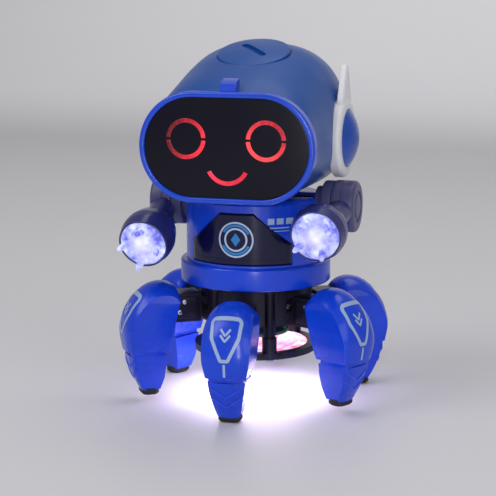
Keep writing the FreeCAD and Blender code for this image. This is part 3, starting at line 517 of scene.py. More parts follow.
def rounded_box(x0, x1, y0, y1, z0, z1, radius, steps=4):
    """A box with every edge and corner rounded, as rows round its vertical axis."""
    rows = []
    for k in range(steps + 1):
        a = math.pi / 2 * k / steps
        inset, z = radius * (1 - math.sin(a)), z0 + radius * (1 - math.cos(a))
        rows.append((inset, z))
    rows += [(inset, z0 + z1 - z) for inset, z in reversed(rows)]
    sheet = []
    for inset, z in rows:
        corners = [(x0 + inset, y0 + inset), (x1 - inset, y0 + inset),
                   (x1 - inset, y1 - inset), (x0 + inset, y1 - inset)]
        outline = rounded(corners, max(radius - inset, 0.05), steps, True)
        sheet.append([Vector((p.x, p.y, z)) for p in outline])
    return with_ends(*grid(sheet, closed_columns=True), len(sheet[0]))


VISOR_INSET, VISOR_FRONT = 3.12, -56.0


def face_outline(inset, arc=40, straight=6):
    """Points round the face, which has a straight top and bottom and round ends."""
    half = BEZEL_W / 2 - BEZEL_H / 2
    radius = BEZEL_H / 2 - inset
    out = []
    for sign in (1, -1):
        for k in range(arc + 1):
            a = math.pi * k / arc - sign * math.pi / 2
            out.append((sign * half + radius * math.cos(a), radius * math.sin(a)))
        for k in range(1, straight):
            out.append((sign * (half - 2 * half * k / straight), sign * radius))
    return out


def face_sweep(profile, closed=True):
    """Sweeps a run of (inset, y) round the face outline."""
    sheet = []
    for inset, y in profile:
        sheet.append([Vector((x, y, HEAD_Z + z)) for x, z in face_outline(inset)])
    return grid(sheet, closed_rows=closed, closed_columns=True)


def build_face():
    rim = [(0.0, BEZEL_BACK), (0.0, BEZEL_FRONT), (2.9, BEZEL_FRONT), (3.1, -54.4), (3.1, BEZEL_BACK)]
    rim = rounded(rim, [0, 1.5, 1.0, 0, 0], 5)
    verts, faces = face_sweep(rim)
    piece("bezel", verts, faces, blue_rim, "chassis", "blue_shell", ("face_bezel",), crease=40.0)
    glass = [(VISOR_INSET, -54.2), (VISOR_INSET, VISOR_FRONT)]
    glass += [(VISOR_INSET + 0.5 * k / 3, VISOR_FRONT - 0.15 * k / 3) for k in (1, 2, 3)]
    verts, faces = face_sweep(glass, closed=False)
    count = len(face_outline(0))
    faces.append(tuple(range(len(verts) - count, len(verts))))
    faces.append(tuple(range(count)))
    piece("visor_window", verts, faces, visor_black, "chassis", "visor_black", ("visor",), crease=30.0)


STRIP_FRONT, STRIP_DEPTH, STRIP_W = -56.32, 1.0, 2.3
EYE_X, EYE_Z, EYE_R = 21.2, 145.8, 9.4
EYE_GAP = 4                     # degrees that an eye's two halves stay clear of the level line
SMILE_X, SMILE_Z, SMILE_R = 0.9, 134.4, 10.9


def arc_strip(cx, cz, radius, start, end, steps=40):
    """A lit bar bent along an arc, with a rounded front."""
    half = STRIP_W / 2
    section = rounded([(-half, STRIP_DEPTH), (-half, 0), (half, 0), (half, STRIP_DEPTH)], 0.35, 4)
    sheet = []
    for i in range(steps + 1):
        a = math.radians(start + (end - start) * i / steps)
        row = []
        for u, v in section:
            r = radius + u
            row.append(Vector((cx + r * math.cos(a), STRIP_FRONT + v, cz + r * math.sin(a))))
        sheet.append(row)
    return with_ends(*grid(sheet), len(section))


def build_lights():
    for name, x, material in (("eye_left", -EYE_X, eye_dim), ("eye_right", EYE_X, eye_bright)):
        upper = arc_strip(x, EYE_Z, EYE_R, EYE_GAP, 180 - EYE_GAP)
        lower = arc_strip(x, EYE_Z, EYE_R, 180 + EYE_GAP, 360 - EYE_GAP)
        piece(name, *join(upper, lower), material, "chassis", "red_light", ("face_light_guides",),
              crease=40.0)
    smile = arc_strip(SMILE_X, SMILE_Z, SMILE_R, 207, 333)
    piece("smile", *smile, smile_light, "chassis", "red_light", ("face_light_guides",), crease=40.0)


CAP_R, CAP_SKIRT_R = 19.5, 15.0
SLOT_HALF_RUN, SLOT_R, SLOT_FLOOR = 9.0, 2.0, -0.9
SLOT_TURN = math.radians(45.0)  # how far the slot is turned from front to back


def build_cap():
    steps = 14
    crown = [(CAP_R * i / steps, 1.1 - 1.5 * (i / steps) ** 2) for i in range(steps + 1)]
    edge = rounded([crown[-2], crown[-1], (CAP_R, -2.4), (CAP_SKIRT_R, -2.6)], 0.6, 4)
    profile = crown[:-1] + [tuple(p) for p in edge[1:]] + [(CAP_SKIRT_R, -5.0), (0.0, -5.0)]
    verts, faces = lathe(profile, CAP_CENTRE, CAP_AXIS, 120)
    cap = piece("coin_cap", verts, faces, blue_head, "cap", "blue_shell", ("coin_slot_cap",), crease=30.0)
    side = Vector((1, 0, 0))
    back = CAP_AXIS.cross(side)
    along = side * -math.sin(SLOT_TURN) + back * math.cos(SLOT_TURN)
    across = side * math.cos(SLOT_TURN) + back * math.sin(SLOT_TURN)
    outline = []
    for sign, start in ((1, 0.0), (-1, math.pi)):
        for k in range(13):
            a = start + math.pi * k / 12
            reach = SLOT_HALF_RUN * sign + SLOT_R * math.sin(a)
            outline.append(along * reach + across * (SLOT_R * math.cos(a)))
    low = [CAP_CENTRE + p + CAP_AXIS * SLOT_FLOOR for p in outline]
    high = [CAP_CENTRE + p + CAP_AXIS * 6.0 for p in outline]
    cut_with(cap, *with_ends(*grid([low, high], closed_columns=True), len(outline)))
    bevel_edges(cap, 0.25, 2, 50)


POD = rounded([(0, 0), (21.2, 0), (21.2, 4.2), (20.3, 5.6), (18.6, 6.2), (15.7, 6.2), (15.7, 4.0), (0, 4.0)],
              [0, 0.4, 1.0, 1.2, 1.0, 0.3, 0.2, 0], 5)
FIN = rounded([(-1.0, 155.0), (-1.6, 162.0), (7.6, 180.4), (11.4, 180.4), (17.6, 162.0), (17.0, 155.0)],
              [0, 3.0, 1.7, 1.7, 3.0, 0], 6)
FIN_MIDDLE = Vector((9.0, 160.0))
FIN_LAYERS = ((45.0, 0.4), (45.3, 0.0), (47.7, 0.0), (48.4, 0.9), (48.6, 2.2))    # x, how far it draws in
DISC_R = 15.4


def ear_fin(sign):
    rows = []
    for x, shrink in FIN_LAYERS:
        row = []
        for p in FIN:
            q = FIN_MIDDLE + (p - FIN_MIDDLE) * (1 - shrink / 14.0)
            row.append(Vector((sign * x, q.x, q.y)))
        rows.append(row)
    return with_ends(*grid(rows, closed_columns=True), len(FIN))


def build_ears():
    for side, sign in (("right", 1), ("left", -1)):
        axis = (sign, 0, 0)
        origin = (sign * EAR_BASE_X, EAR_Y, HEAD_Z)
        pod = lathe(POD, origin, axis, 96)
        if side == "right":
            pod = join(pod, ear_fin(sign))
        piece("ear_pod_shell_" + side, *pod, white_shell, "chassis", "white_shell", ("ear_pod_" + side,),
              crease=38.0)
        dome = [(0, 11.8), (1.2, 11.75)]
        dome += [(DISC_R * k / 12, 11.6 - 5.4 * (k / 12) ** 2.1) for k in range(2, 13)]
        dome += [(DISC_R, 4.1), (0, 4.1)]
        piece("ear_disc_cap_" + side, *lathe(dome, origin, axis, 96), ear_blue, "chassis", "blue_shell",
              ("ear_disc_" + side,), crease=30.0)


CLIP_HALF_W = 4.2


def build_clip():
    side = [(-52.4, 168.0), (-52.4, 173.9), (-50.9, 174.6), (-44.6, 176.5), (-44.6, 168.0)]
    side = rounded(side, [0, 0.5, 0.4, 0.6, 0], 4)
    rows = [[Vector((x, p.x, p.y)) for p in side] for x in (-CLIP_HALF_W, CLIP_HALF_W)]
    clip = with_ends(*grid(rows, closed_columns=True), len(side))
    piece("helmet_clip", *clip, blue_rim, "chassis", "blue_shell", crease=40.0, bevel=0.35)


# ------------------------------------------------------------------ torso and waist
TORSO_R = 37.6
CHEST_LOW, CHEST_BEND, CHEST_TOP = 77.4, 88.4, 105.2    # z where the plate's outline turns
CHEST_HALF_W = [(CHEST_LOW, 27.2), (CHEST_BEND, 27.2), (CHEST_TOP, 9.0)]
PRINT_LIFT = 0.08               # how far print stands off the barrel


def on_barrel(x, z, radius):
    return Vector((x, -math.sqrt(max(radius * radius - x * x, 0.0)), z))


def build_waist():
    profile = [(0, 64.0), (40.8, 64.0), (40.8, 76.0), (37.7, 76.0), (37.7, 76.6), (35.5, 76.6), (35.0, 66.0),
               (0, 66.0)]
    profile = rounded(profile, [0, 1.1, 1.7, 0.25, 0.2, 0, 0, 0], 6)
    dish = lathe(profile, steps=160)
    piece("waist_dish", *dish, blue, "chassis", "blue_shell", ("waist_flange",))


def build_chest():
    """Chest plate that follows the barrel, with edges that fall away and a thin wall back to the barrel."""
    steps, columns = 28, 48
    fall_width, fall = 0.8, 0.75
    slant = 0.84                # a slanted side is nearer than its distance along x
    rows = []
    for i in range(steps + 1):
        z = CHEST_LOW + (CHEST_TOP - CHEST_LOW) * i / steps
        half = table(CHEST_HALF_W, z)
        row = []
        for j in range(columns + 1):
            u = -1 + 2 * j / columns
            from_side = half * (1 - abs(u)) * (slant if z > CHEST_BEND else 1.0)
            from_end = min(z - CHEST_LOW, CHEST_TOP - z)
            near = max(0.0, 1 - min(from_side, from_end) / fall_width)
            row.append(on_barrel(half * u, z, TORSO_R + 0.9 - fall * near ** 2))
        rows.append(row)

    def sunk(run):
        return [on_barrel(v.x, v.z, TORSO_R - 0.3) for v in run]
    left, right = [row[0] for row in rows], [row[-1] for row in rows]
    plate = join(grid(rows), grid([sunk(rows[0]), rows[0]]), grid([rows[-1], sunk(rows[-1])]),
                 grid([left, sunk(left)]), grid([right, sunk(right)]))
    piece("chest_panel", *plate, chest_black, "chassis", "chest_black", ("chest_plate",))
    # Thin dark strip across the lower chest: painted shade along the plate's ridge line.
    ridge_shade = barrel_strip(-24.5, 24.5, 80.6, 80.9, TORSO_R + 0.93)
    piece("chest_ridge_shade", *ridge_shade, visor_black, "chassis", "chest_black")


def barrel_strip(x0, x1, z0, z1, radius, columns=24):
    rows = []
    for z in (z0, z1):
        rows.append([on_barrel(x0 + (x1 - x0) * j / columns, z, radius) for j in range(columns + 1)])
    return grid(rows)


EMBLEM_Z = 91.4
EMBLEM_LIFT_R = TORSO_R + 1.0


def emblem_ring(inner, outer, start=0, end=360, steps=72):
    rows = []
    for r in (inner, outer):
        row = []
        for k in range(steps + 1):
            a = math.radians(start + (end - start) * k / steps)
            row.append(on_barrel(r * math.cos(a), EMBLEM_Z + r * math.sin(a), EMBLEM_LIFT_R))
        rows.append(row)
    return grid(rows)


def build_emblem():
    """Generic marks in place of the toy's own print: rings, a diamond, three bars and two lines."""
    pale = join(emblem_ring(8.6, 9.5), emblem_ring(5.3, 6.3))
    tint = join(emblem_ring(6.9, 8.2, 25, 150), emblem_ring(6.9, 8.2, 205, 335))
    diamond = [(-2.6, EMBLEM_Z), (0.0, EMBLEM_Z - 3.6), (2.6, EMBLEM_Z), (0.0, EMBLEM_Z + 3.6)]
    piece("chest_rings", *pale, decal_white, "chassis", "chest_black")
    piece("chest_arcs", *tint, decal_blue, "chassis", "chest_black")
    corners = [on_barrel(x, z, EMBLEM_LIFT_R) for x, z in diamond]
    piece("chest_diamond", corners, [(0, 1, 2, 3)], decal_blue, "chassis", "chest_black")
    bar_x, bar_w, pitch, line_end = 16.2, 3.1, 4.2, 26.0
    lift = TORSO_R + PRINT_LIFT
    bars = []
    for k in range(3):
        x = bar_x + pitch * k
        bars.append(barrel_strip(x, x + bar_w, 99.4, 102.6, lift, 4))
    for low, high in ((97.2, 97.8), (95.6, 96.0)):
        bars.append(barrel_strip(bar_x, line_end, low, high, lift, 8))
    piece("torso_bars", *join(*bars), decal_pale, "chassis", "blue_shell")


# ------------------------------------------------------------------ shoulders, arms and hands
SHOULDER_Z = 105.7
DROOP = {"left": math.radians(17.6), "right": math.radians(8.2)}
PRONG_START = {"left": math.radians(5.0), "right": math.radians(30.0)}
HAND_X = 46.6
ELBOW_X = 51.0                  # where the forearm's line meets the drum
# Lathe profiles: radius, distance along the part's own axis. The prong's distances are shares of its length.
COLLAR = rounded([(5.2, 34.9), (10.4, 34.9), (10.4, 38.6), (13.5, 38.6), (13.5, 44.1), (5.2, 44.1)],
                 [0, 0.5, 0.3, 1.2, 0.4, 0], 4, True)
DRUM = rounded([(0, 44.4), (13.6, 44.4), (13.9, 46.0), (13.9, 49.2), (13.45, 49.5), (13.9, 49.8),
                (13.9, 56.8), (8.6, 56.8), (8.6, 56.0), (6.4, 56.0), (6.4, 56.8), (0, 56.8)],
               [0, 0.5, 0.6, 0.1, 0.1, 0.1, 2.2, 0.3, 0.2, 0.2, 0.3, 0], 5)
STUB = [(0, 35.5), (5.0, 35.5), (5.0, 45.0)]
FOREARM = rounded([(0, 4.0), (5.8, 4.0), (6.8, 12.0), (7.2, 24.0), (7.6, 36.0), (0, 36.0)],
                  [0, 1, 3, 3, 0.3, 0], 4)
CUP = rounded([(0, 27.0), (6.5, 27.0), (9.5, 30.6), (12.6, 36.5), (14.4, 43.5), (14.4, 48.4), (13.2, 54.6),
               (12.5, 55.0), (12.35, 51.4), (0, 51.4)],
              [0, 2.0, 4.0, 6.0, 5.0, 5.0, 0.4, 0.2, 0, 0], 6)
LENS = [(0, 57.0), (3.0, 56.9), (6.0, 56.5), (9.0, 55.9), (11.0, 55.4), (11.9, 54.9), (12.25, 54.0),
        (12.25, 51.6)]
PRONG = ((2.3, 0.0), (2.15, 0.3), (1.75, 0.6), (1.35, 0.85), (0.9, 0.96), (0, 1.0))
PRONG_COUNT, PRONG_CIRCLE_R, PRONG_ROOT = 4, 7.4, 54.8
PRONG_REACH, PRONG_SPLAY = 9.6, 3.0


def lens_material(side, centre):
    return lit_plastic("lens_" + side, (0.050, 0.060, 0.60), (0.70, 0.76, 1.0), strength=1.05, scale=165.0,
                       base=(0.12, 0.12, 0.4), centre=centre, reach=0.0092, middle=(1.0, 0.98, 1.0))


def build_arm(side, sign):
    body = "arm_" + side
    droop = DROOP[side]
    along = Vector((0, -math.cos(droop), -math.sin(droop)))
    centre = Vector((0, 0, SHOULDER_Z))
    shoulder = Vector((sign * HAND_X, 0, SHOULDER_Z))
    axis = Vector((sign, 0, 0))
    piece("collar_" + side, *lathe(COLLAR, centre, axis, 72, True), shoulder_black, "chassis",
          "shoulder_black", ("shoulder_collar_" + side,))
    drum = join(lathe(DRUM, centre, axis, 96), lathe(STUB, centre, axis, 48))
    piece("drum_" + side, *drum, shoulder_black, body, "shoulder_black", ("arm_" + side,))
    root = Vector((sign * ELBOW_X, 0, SHOULDER_Z))
    lean = (shoulder + along * 36.0 - root).normalized()
    piece("forearm_" + side, *lathe(FOREARM, root, lean, 64), cup_indigo, body, "shoulder_black",
          ("arm_" + side,))
    piece("hand_cup_" + side, *lathe(CUP, shoulder, along, 96), cup_indigo, body, "shoulder_black",
          ("arm_" + side,))
    glow = lens_material(side, tuple((shoulder + along * 56.0) * MM))
    prongs = []
    turn = Vector((0, -1, 0)).rotation_difference(along)
    for i in range(PRONG_COUNT):
        a = PRONG_START[side] + i * math.pi / 2
        outward = turn @ Vector((sign * math.cos(a), 0, math.sin(a)))
        root = shoulder + along * PRONG_ROOT + outward * PRONG_CIRCLE_R
        lean = along * PRONG_REACH + outward * PRONG_SPLAY
        prongs.append(lathe([(r, lean.length * share) for r, share in PRONG], root, lean, 28))
    lens = join(lathe(LENS, shoulder, along, 96), *prongs)
    piece("lens_" + side, *lens, glow, body, "clear_lens", ("claw_lens_" + side,), crease=40.0)


# ------------------------------------------------------------------ legs
RING_TURN = 3.5       # degrees that the ring of legs is turned by
LIFT_B = 3.5          # legs_b stands this much higher than legs_a at rest
SIDE_STEP = 0.55      # how far a leg's flat sides lie inside the edge of its crowned front
LEGS = {
    "front": (0, "legs_a", 0.0), "front_right": (60, "legs_b", LIFT_B),
    "rear_right": (120, "legs_a", 0.0), "rear": (180, "legs_b", LIFT_B),
    "rear_left": (-120, "legs_a", 0.0), "front_left": (-60, "legs_b", LIFT_B),
}
# Outside of a leg as (radius, z) up its middle, then tables of z against the inside's radius, the half width
# and how far the edges of the crowned outside fall away.
COVER_PATH = smooth_run([(74.3, 25.0), (75.6, 34.0), (74.8, 41.0), (72.0, 48.8), (67.2, 55.8), (61.4, 60.3),
                         (55.0, 62.0), (49.6, 61.2), (46.2, 58.8), (45.3, 55.8)], 6)
COVER_INNER = [(25.0, 52.6), (34.0, 50.4), (43.0, 48.2), (49.5, 46.6), (51.6, 46.4)]
COVER_WIDTH = [(24.8, 10.8), (33.0, 12.4), (42.0, 13.0), (49.6, 12.9), (55.4, 12.4), (59.2, 11.9),
               (62.0, 11.6)]
COVER_DROPS = [(24.8, 2.2), (38.0, 2.6), (48.0, 3.6), (55.0, 4.8), (59.0, 5.6), (62.0, 6.0)]
COVER = (COVER_PATH, COVER_WIDTH, COVER_DROPS)
TIP_PATH = smooth_run([(65.6, 2.6), (69.4, 10.0), (71.9, 17.0), (73.0, 23.0)], 8)
TIP_INNER = [(2.6, 56.0), (10.0, 53.8), (17.0, 53.2), (23.0, 53.2)]
TIP_WIDTH = [(2.6, 6.0), (6.0, 7.0), (10.0, 7.9), (17.0, 9.3), (23.0, 10.0)]
TIP_DROPS = [(2.6, 1.6), (23.0, 2.4)]
TIP = (TIP_PATH, TIP_WIDTH, TIP_DROPS)
LEG_MIDDLE = Vector((50.0, 40.0))    # a point inside the leg, to tell its outside from its inside


def path_normals(path):
    """Outward direction at each point of a path, straight up once the path has turned inwards."""
    out = []
    for i, point in enumerate(path):
        a, b = path[max(i - 1, 0)], path[min(i + 1, len(path) - 1)]
        run = (b - a).normalized()
        normal = Vector((run.y, -run.x))
        if normal.dot(point - LEG_MIDDLE) < 0:
            normal = -normal
        out.append(normal if normal.x > 0 else Vector((0.0, 1.0)))
    return out


def crown_drop(fraction, z, drops):
    """How far the outside falls away at a fraction of the half width."""
    depth = table(drops, z)
    power = table([(24.0, 3.6), (46.0, 3.2), (58.0, 2.5)], z)
    return depth * abs(fraction) ** power


def crowned_body(shape, inner, columns=22):
    """Thick band with a crowned outside, flat sides and a flat inside facing the body."""
    path, widths, drops = shape
    rows = []
    for point, normal in zip(path, path_normals(path)):
        half = table(widths, point.y)
        crown = []
        for j in range(columns + 1):
            u = -1 + 2 * j / columns
            spot = point - normal * crown_drop(u, point.y, drops)
            crown.append(Vector((half * u, -spot.x, spot.y)))
        edge = crown[0]
        z = min(max(edge.z, inner[0][0]), inner[-1][0])
        r = min(table(inner, z), -edge.y - 0.02)
        side = table(widths, z) - SIDE_STEP
        left, right = Vector((-side, -r, z)), Vector((side, -r, z))
        step = Vector((SIDE_STEP, 0, 0))
        foot_left, foot_right = crown[0] + step, crown[-1] - step
        rows.append([left, foot_left.lerp(left, 0.5), foot_left] + crown
                    + [foot_right, foot_right.lerp(right, 0.5), right])
    return with_ends(*grid(rows, closed_columns=True), len(rows[0]))


def surface_point(shape, t, z, lift):
    """Point on the crowned outside at a height and a distance from the middle."""
    path, widths, drops = shape
    point, run = path[-1], (path[-1] - path[-2]).normalized()
    for a, b in zip(path, path[1:]):
        if min(a.y, b.y) <= z <= max(a.y, b.y):
            k = (z - a.y) / (b.y - a.y) if abs(b.y - a.y) > 1e-6 else 0.0
            point, run = a.lerp(b, k), (b - a).normalized()
            break
    normal = Vector((run.y, -run.x))
    if normal.x < 0:
        normal = -normal
    half = table(widths, point.y)
    spot = point - normal * (crown_drop(t / half, point.y, drops) - lift)
    return Vector((t, -spot.x, spot.y))


STROKE_STEP = 0.8


def surface_strip(shape, line, width, lift, closed=False, thick=0.0):
    """Printed or raised stroke that follows a run of (distance from the middle, z) points on the outside."""
    fine = []
    count = len(line)
    spans = count if closed else count - 1
    for i in range(spans):
        a, b = Vector(line[i]), Vector(line[(i + 1) % count])
        parts = max(1, int((b - a).length / STROKE_STEP))
        for k in range(parts):
            fine.append(a.lerp(b, k / parts))
    if not closed:
        fine.append(Vector(line[-1]))
    inner, outer = [], []
    total = len(fine)
    for i, here in enumerate(fine):
        if closed:
            a, b = fine[i - 1], fine[(i + 1) % total]
        else:
            a, b = fine[max(i - 1, 0)], fine[min(i + 1, total - 1)]
        run = (b - a).normalized()
        side = Vector((-run.y, run.x)) * width / 2
        inner.append(here - side)
        outer.append(here + side)

    def row(points, up):
        return [surface_point(shape, p.x, p.y, up) for p in points]
    rows = [row(inner, lift), row(outer, lift)]
    if thick:
        rows = [row(inner, lift - thick)] + rows + [row(outer, lift - thick)]
    sheet = [[r[i] for r in rows] for i in range(total)]
    return grid(sheet, closed_rows=closed)


PAD_FRONT, PAD_BACK, PAD_HALF_W = -65.8, -56.0, 6.1
PAD_LAYERS = ((2.2, 0.0), (1.0, 0.35), (0.2, 1.2), (0.0, 2.2), (0.3, 4.0), (1.2, 4.6))      # inset, z
SHIELD = rounded([(-7.7, 55.9), (7.7, 55.9), (7.1, 46.6), (1.9, 35.4), (-1.9, 35.4), (-7.1, 46.6)],
                 [2.0, 2.0, 3.0, 0.9, 0.9, 3.0], 5, True)
INK_LIFT = 0.10
CHEVRON_HALF_W, CHEVRON_RISE = 2.6, 3.1
RIDGE_RISE, RIDGE_DIP = 4.2, 1.6
SCREW_HEAD = [(0, 0.35), (0.35, 0.35), (0.5, 0.6), (0.9, 0.58), (1.2, 0.4), (1.3, 0.1), (1.3, -0.4)]


def foot_pad():
    rows = []
    for inset, z in PAD_LAYERS:
        x, front, rear = PAD_HALF_W - inset, PAD_FRONT + inset, PAD_BACK - inset
        outline = rounded([(-x, front), (x, front), (x, rear), (-x, rear)], 3.0, 6, True)
        rows.append([Vector((p.x, p.y, z)) for p in outline])
    return with_ends(*grid(rows, closed_columns=True), len(rows[0]))


def leg_print():
    """Generic marks in place of the toy's own print: a shield outline, two chevrons and a stripe."""
    strokes = [surface_strip(COVER, SHIELD, 1.8, INK_LIFT, True),
               surface_strip(COVER, [(0.0, 33.6), (0.0, 26.8)], 1.3, INK_LIFT)]
    for z in (51.0, 48.2):
        line = [(-CHEVRON_HALF_W, z), (0.0, z - CHEVRON_RISE), (CHEVRON_HALF_W, z)]
        strokes.append(surface_strip(COVER, line, 1.15, INK_LIFT))
    return join(*strokes)


def tip_ridges():
    ridges = []
    for z in (16.6, 11.2):
        half = table(TIP_WIDTH, z + RIDGE_RISE) - 0.7
        line = [(-half, z + RIDGE_RISE), (0.0, z - RIDGE_DIP), (half, z + RIDGE_RISE)]
        ridges.append(surface_strip(TIP, line, 0.9, 0.42, False, 0.7))
    return join(*ridges)


def limb_screws():
    screws = []
    for z in (51.0, 45.5):
        for sign in (-1, 1):
            spot = Vector((sign * 7.6, -43.0 + (z - 50.0) * 0.5, z))
            screws.append(lathe(SCREW_HEAD, spot, (sign, 0, 0), 24))
    return join(*screws)


def build_legs():
    cover = crowned_body(COVER, COVER_INNER)
    tip = crowned_body(TIP, TIP_INNER)
    neck = rounded_box(-9.2, 9.2, -72.0, -54.2, 20.0, 27.5, 0.6)
    pad, prints, ridges, screws = foot_pad(), leg_print(), tip_ridges(), limb_screws()
    limb = join(rounded_box(-7.6, 7.6, -50.0, -33.0, 39.9, 55.5, 1.0),
                rounded_box(-7.8, -7.2, -48.0, -36.0, 42.0, 53.4, 0.28, 2),
                rounded_box(7.2, 7.8, -48.0, -36.0, 42.0, 53.4, 0.28, 2))
    for leg, (angle, body, lift) in LEGS.items():
        place = Matrix.Rotation(math.radians(RING_TURN + angle), 4, "Z")
        place = Matrix.Translation((0, 0, lift)) @ place

        def put(kind, part, material, slot, *stands_for, **edges):
            piece(kind + leg, *moved(part, place), material, body, slot, stands_for, **edges)
        put("cover_", cover, blue, "blue_shell", "leg_cover_" + leg, crease=32.0, bevel=0.22)
        put("tip_", tip, blue, "blue_shell", "leg_tip_" + leg, crease=32.0, bevel=0.22)
        put("neck_", neck, blue, "blue_shell", "leg_tip_" + leg, crease=40.0)
        put("pad_", pad, rubber, "foot_rubber", "foot_pad_" + leg, crease=40.0)
        put("chevrons_", ridges, blue, "blue_shell", crease=30.0)
        put("shield_", prints, decal_pale, "blue_shell")
        put("limb_", limb, base_black, "base_black", crease=40.0)
        group = body[-1]
        put("limb_screws_", screws, steel, "bright_steel", "leg_screws_" + group, crease=40.0)


# ------------------------------------------------------------------ light chamber
DOME_R, DOME_LOW_Z, DOME_RIM_Z, DOME_TOP_Z = 26.9, 21.5, 27.7, 29.0
LAMP_CIRCLE_R = 10.0
LAMP_COLOURS = ("red", "green", "red", "blue", "green", "red", "blue")    # six on the circle, one inside
LAMP = rounded([(0, -0.7), (2.8, -0.7), (2.8, 3.4), (3.2, 3.4), (3.2, 4.65), (0, 4.65)],
               [0, 0.8, 0.1, 0.2, 0.1, 0], 5)
PLATE_INNER_R, PLATE_OUTER_R, PLATE_LOW, PLATE_HIGH, PLATE_HALF_DEG = 28.7, 30.8, 29.4, 44.5, 6.0


def build_chamber():
    """Clear faceted dome, as a bowl that hangs from its rim."""
    depth = DOME_RIM_Z - DOME_LOW_Z
    profile = [(0, DOME_LOW_Z)]
    steps = 12
    for i in range(1, steps + 1):
        a = math.pi / 2 * i / steps
        profile.append((DOME_R * math.sin(a), DOME_RIM_Z - depth * math.cos(a)))
    profile += [(28.4, DOME_RIM_Z), (28.4, DOME_TOP_Z), (25.0, DOME_TOP_Z)]
    piece("dome_bowl", *lathe(profile, steps=24), chamber_light, "chassis", "clear_dome", ("light_dome",),
          crease=10.0)


def ring_block(inner, outer, middle, half_angle, low, high, steps=8):
    """Upright plate that follows a circle, with rounded long edges."""
    section = rounded([(inner, low), (outer, low), (outer, high), (inner, high)], 0.3, 3, True)
    rows = []
    for k in range(steps + 1):
        a = math.radians(middle - half_angle + 2 * half_angle * k / steps)
        rows.append([Vector((p.x * math.cos(a), p.x * math.sin(a), p.y)) for p in section])
    return with_ends(*grid(rows, closed_columns=True), len(section))


def build_lamps():
    lamp_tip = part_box("light_board")[0][2] / MM
    for k, colour in enumerate(LAMP_COLOURS):
        a = math.radians(60.0 * k - 90.0)
        reach = LAMP_CIRCLE_R if k < 6 else 0.0
        spot = (reach * math.cos(a), reach * math.sin(a), lamp_tip)
        piece("lamp_%d" % (k + 1), *lathe(LAMP, spot, steps=28), lamp_colours[colour], "chassis",
              "clear_dome")
    plates = [ring_block(PLATE_INNER_R, PLATE_OUTER_R, angle, PLATE_HALF_DEG, PLATE_LOW, PLATE_HIGH)
              for angle in (-120, -60, 60, 120)]
    piece("cage_plates", *join(*plates), base_black, "chassis", "base_black", crease=40.0)


build_helmet()
build_face()
build_lights()
build_cap()
build_ears()
build_clip()
build_waist()
build_chest()
build_emblem()
for arm_side, arm_sign in (("right", 1), ("left", -1)):
    build_arm(arm_side, arm_sign)
build_legs()
build_chamber()
build_lamps()

# ------------------------------------------------------------------ stage, lights and camera (metres)
FLOOR_XS = (-4.0, -2.0, 0.0, 2.0, 4.0)
FLOOR_YS = (-3.0, -1.5, 0.0, 1.2, 2.0)
WALL_TOP, SWEEP_R, SWEEP_STEPS = 4.0, 1.2, 12
# name, place, aim, size, power in watts
AREA_LIGHTS = (
    ("key", (-0.9, -0.9, 1.3), (0, 0, 0.1), (0.9, 0.9), 8.0),
    ("fill", (1.2, -1.0, 0.7), (0, 0, 0.1), (0.9, 0.9), 3.2),
    ("top", (0.1, 0.35, 1.4), (0, 0, 0.1), (1.0, 0.8), 4.5),
    ("strip", (0.32, -1.2, 0.35), (0, 0, 0.09), (0.10, 0.7), 4.0),
    ("backdrop", (0.0, 1.5, 1.6), (0, 3.2, 1.2), (3.0, 1.6), 27.0),
)
WORLD_COLOUR, WORLD_STRENGTH = (0.86, 0.86, 0.86, 1.0), 0.34
SENSOR_MM, LENS_MM = 36.0, 116.1
AZIMUTH, ELEVATION, DISTANCE = math.radians(16.15), math.radians(10.41), 0.8745
AIM = Vector((-0.00406, -0.00117, 0.08033))


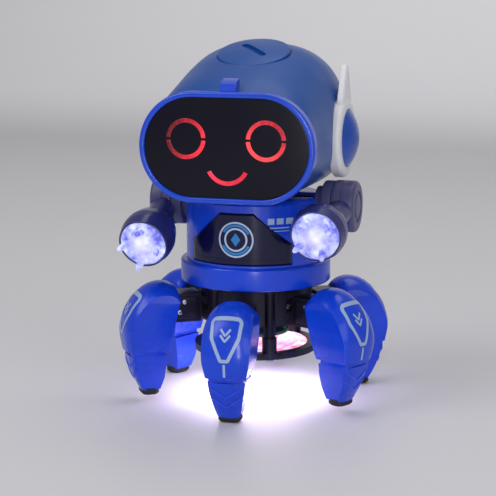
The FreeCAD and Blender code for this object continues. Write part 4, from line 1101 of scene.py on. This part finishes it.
def build_stage():
    """Pale floor that sweeps up into a wall behind the toy."""
    line = [(y, 0.0) for y in FLOOR_YS]
    for k in range(1, SWEEP_STEPS + 1):
        a = math.pi / 2 * k / SWEEP_STEPS
        line.append((FLOOR_YS[-1] + SWEEP_R * math.sin(a), SWEEP_R - SWEEP_R * math.cos(a)))
    line.append((FLOOR_YS[-1] + SWEEP_R, WALL_TOP))
    verts, faces = grid([[Vector((x, y, z)) for x in FLOOR_XS] for y, z in line])
    mesh = bpy.data.meshes.new("floor")
    mesh.from_pydata(verts, [], faces)
    for polygon in mesh.polygons:
        polygon.use_smooth = True
    floor = add_object("floor", mesh)
    material, nodes, links, shader = node_material("floor_paper")
    coords = nodes.new("ShaderNodeTexCoord").outputs["Object"]
    cloud = noise(nodes, links, coords, 2.0, 3.0)
    pale = blend_colour(nodes, links, cloud, (0.74, 0.73, 0.75), (0.70, 0.69, 0.72))
    links.new(pale, shader.inputs["Base Color"])
    links.new(remap(nodes, links, cloud, NOISE_LOW, NOISE_HIGH, 0.50, 0.60), shader.inputs["Roughness"])
    mesh.materials.append(material)


def area_light(name, place, target, size, power, colour=(1, 1, 1)):
    data = bpy.data.lights.new(name, "AREA")
    data.shape = "RECTANGLE"
    data.size, data.size_y = size
    data.energy = power
    data.color = colour
    lamp = add_object(name, data)
    lamp.location = place
    lamp.rotation_euler = (Vector(target) - Vector(place)).to_track_quat("-Z", "Y").to_euler()
    return lamp


def point_light(name, place, power, colour, radius):
    data = bpy.data.lights.new(name, "POINT")
    data.energy = power
    data.color = colour
    data.shadow_soft_size = radius
    lamp = add_object(name, data)
    lamp.location = place
    return lamp


build_stage()
world = bpy.data.worlds.new("studio")
scene.world = world
world.use_nodes = True
background = world.node_tree.nodes["Background"]
fill(background, {"Color": WORLD_COLOUR, "Strength": WORLD_STRENGTH})
for area in AREA_LIGHTS:
    area_light(*area)
point_light("under_glow", (0.0, -0.004, 0.015), power=0.02, colour=(1.0, 0.72, 0.95), radius=0.02)
floor_glow = area_light("floor_glow", (0.0, -0.004, 0.0205), (0, -0.004, 0), size=(0.052, 0.052), power=0.10,
                        colour=(0.90, 0.80, 1.0))
floor_glow.visible_camera = False
scene.view_settings.view_transform = "Standard"

camera_data = bpy.data.cameras.new("camera")
camera_data.sensor_width = SENSOR_MM
camera_data.lens = LENS_MM
camera = add_object("camera", camera_data)
back = Vector((math.sin(AZIMUTH) * math.cos(ELEVATION), -math.cos(AZIMUTH) * math.cos(ELEVATION),
               math.sin(ELEVATION)))
camera.location = AIM + back * DISTANCE
camera.rotation_euler = (-back).to_track_quat("-Z", "Y").to_euler()
scene.camera = camera
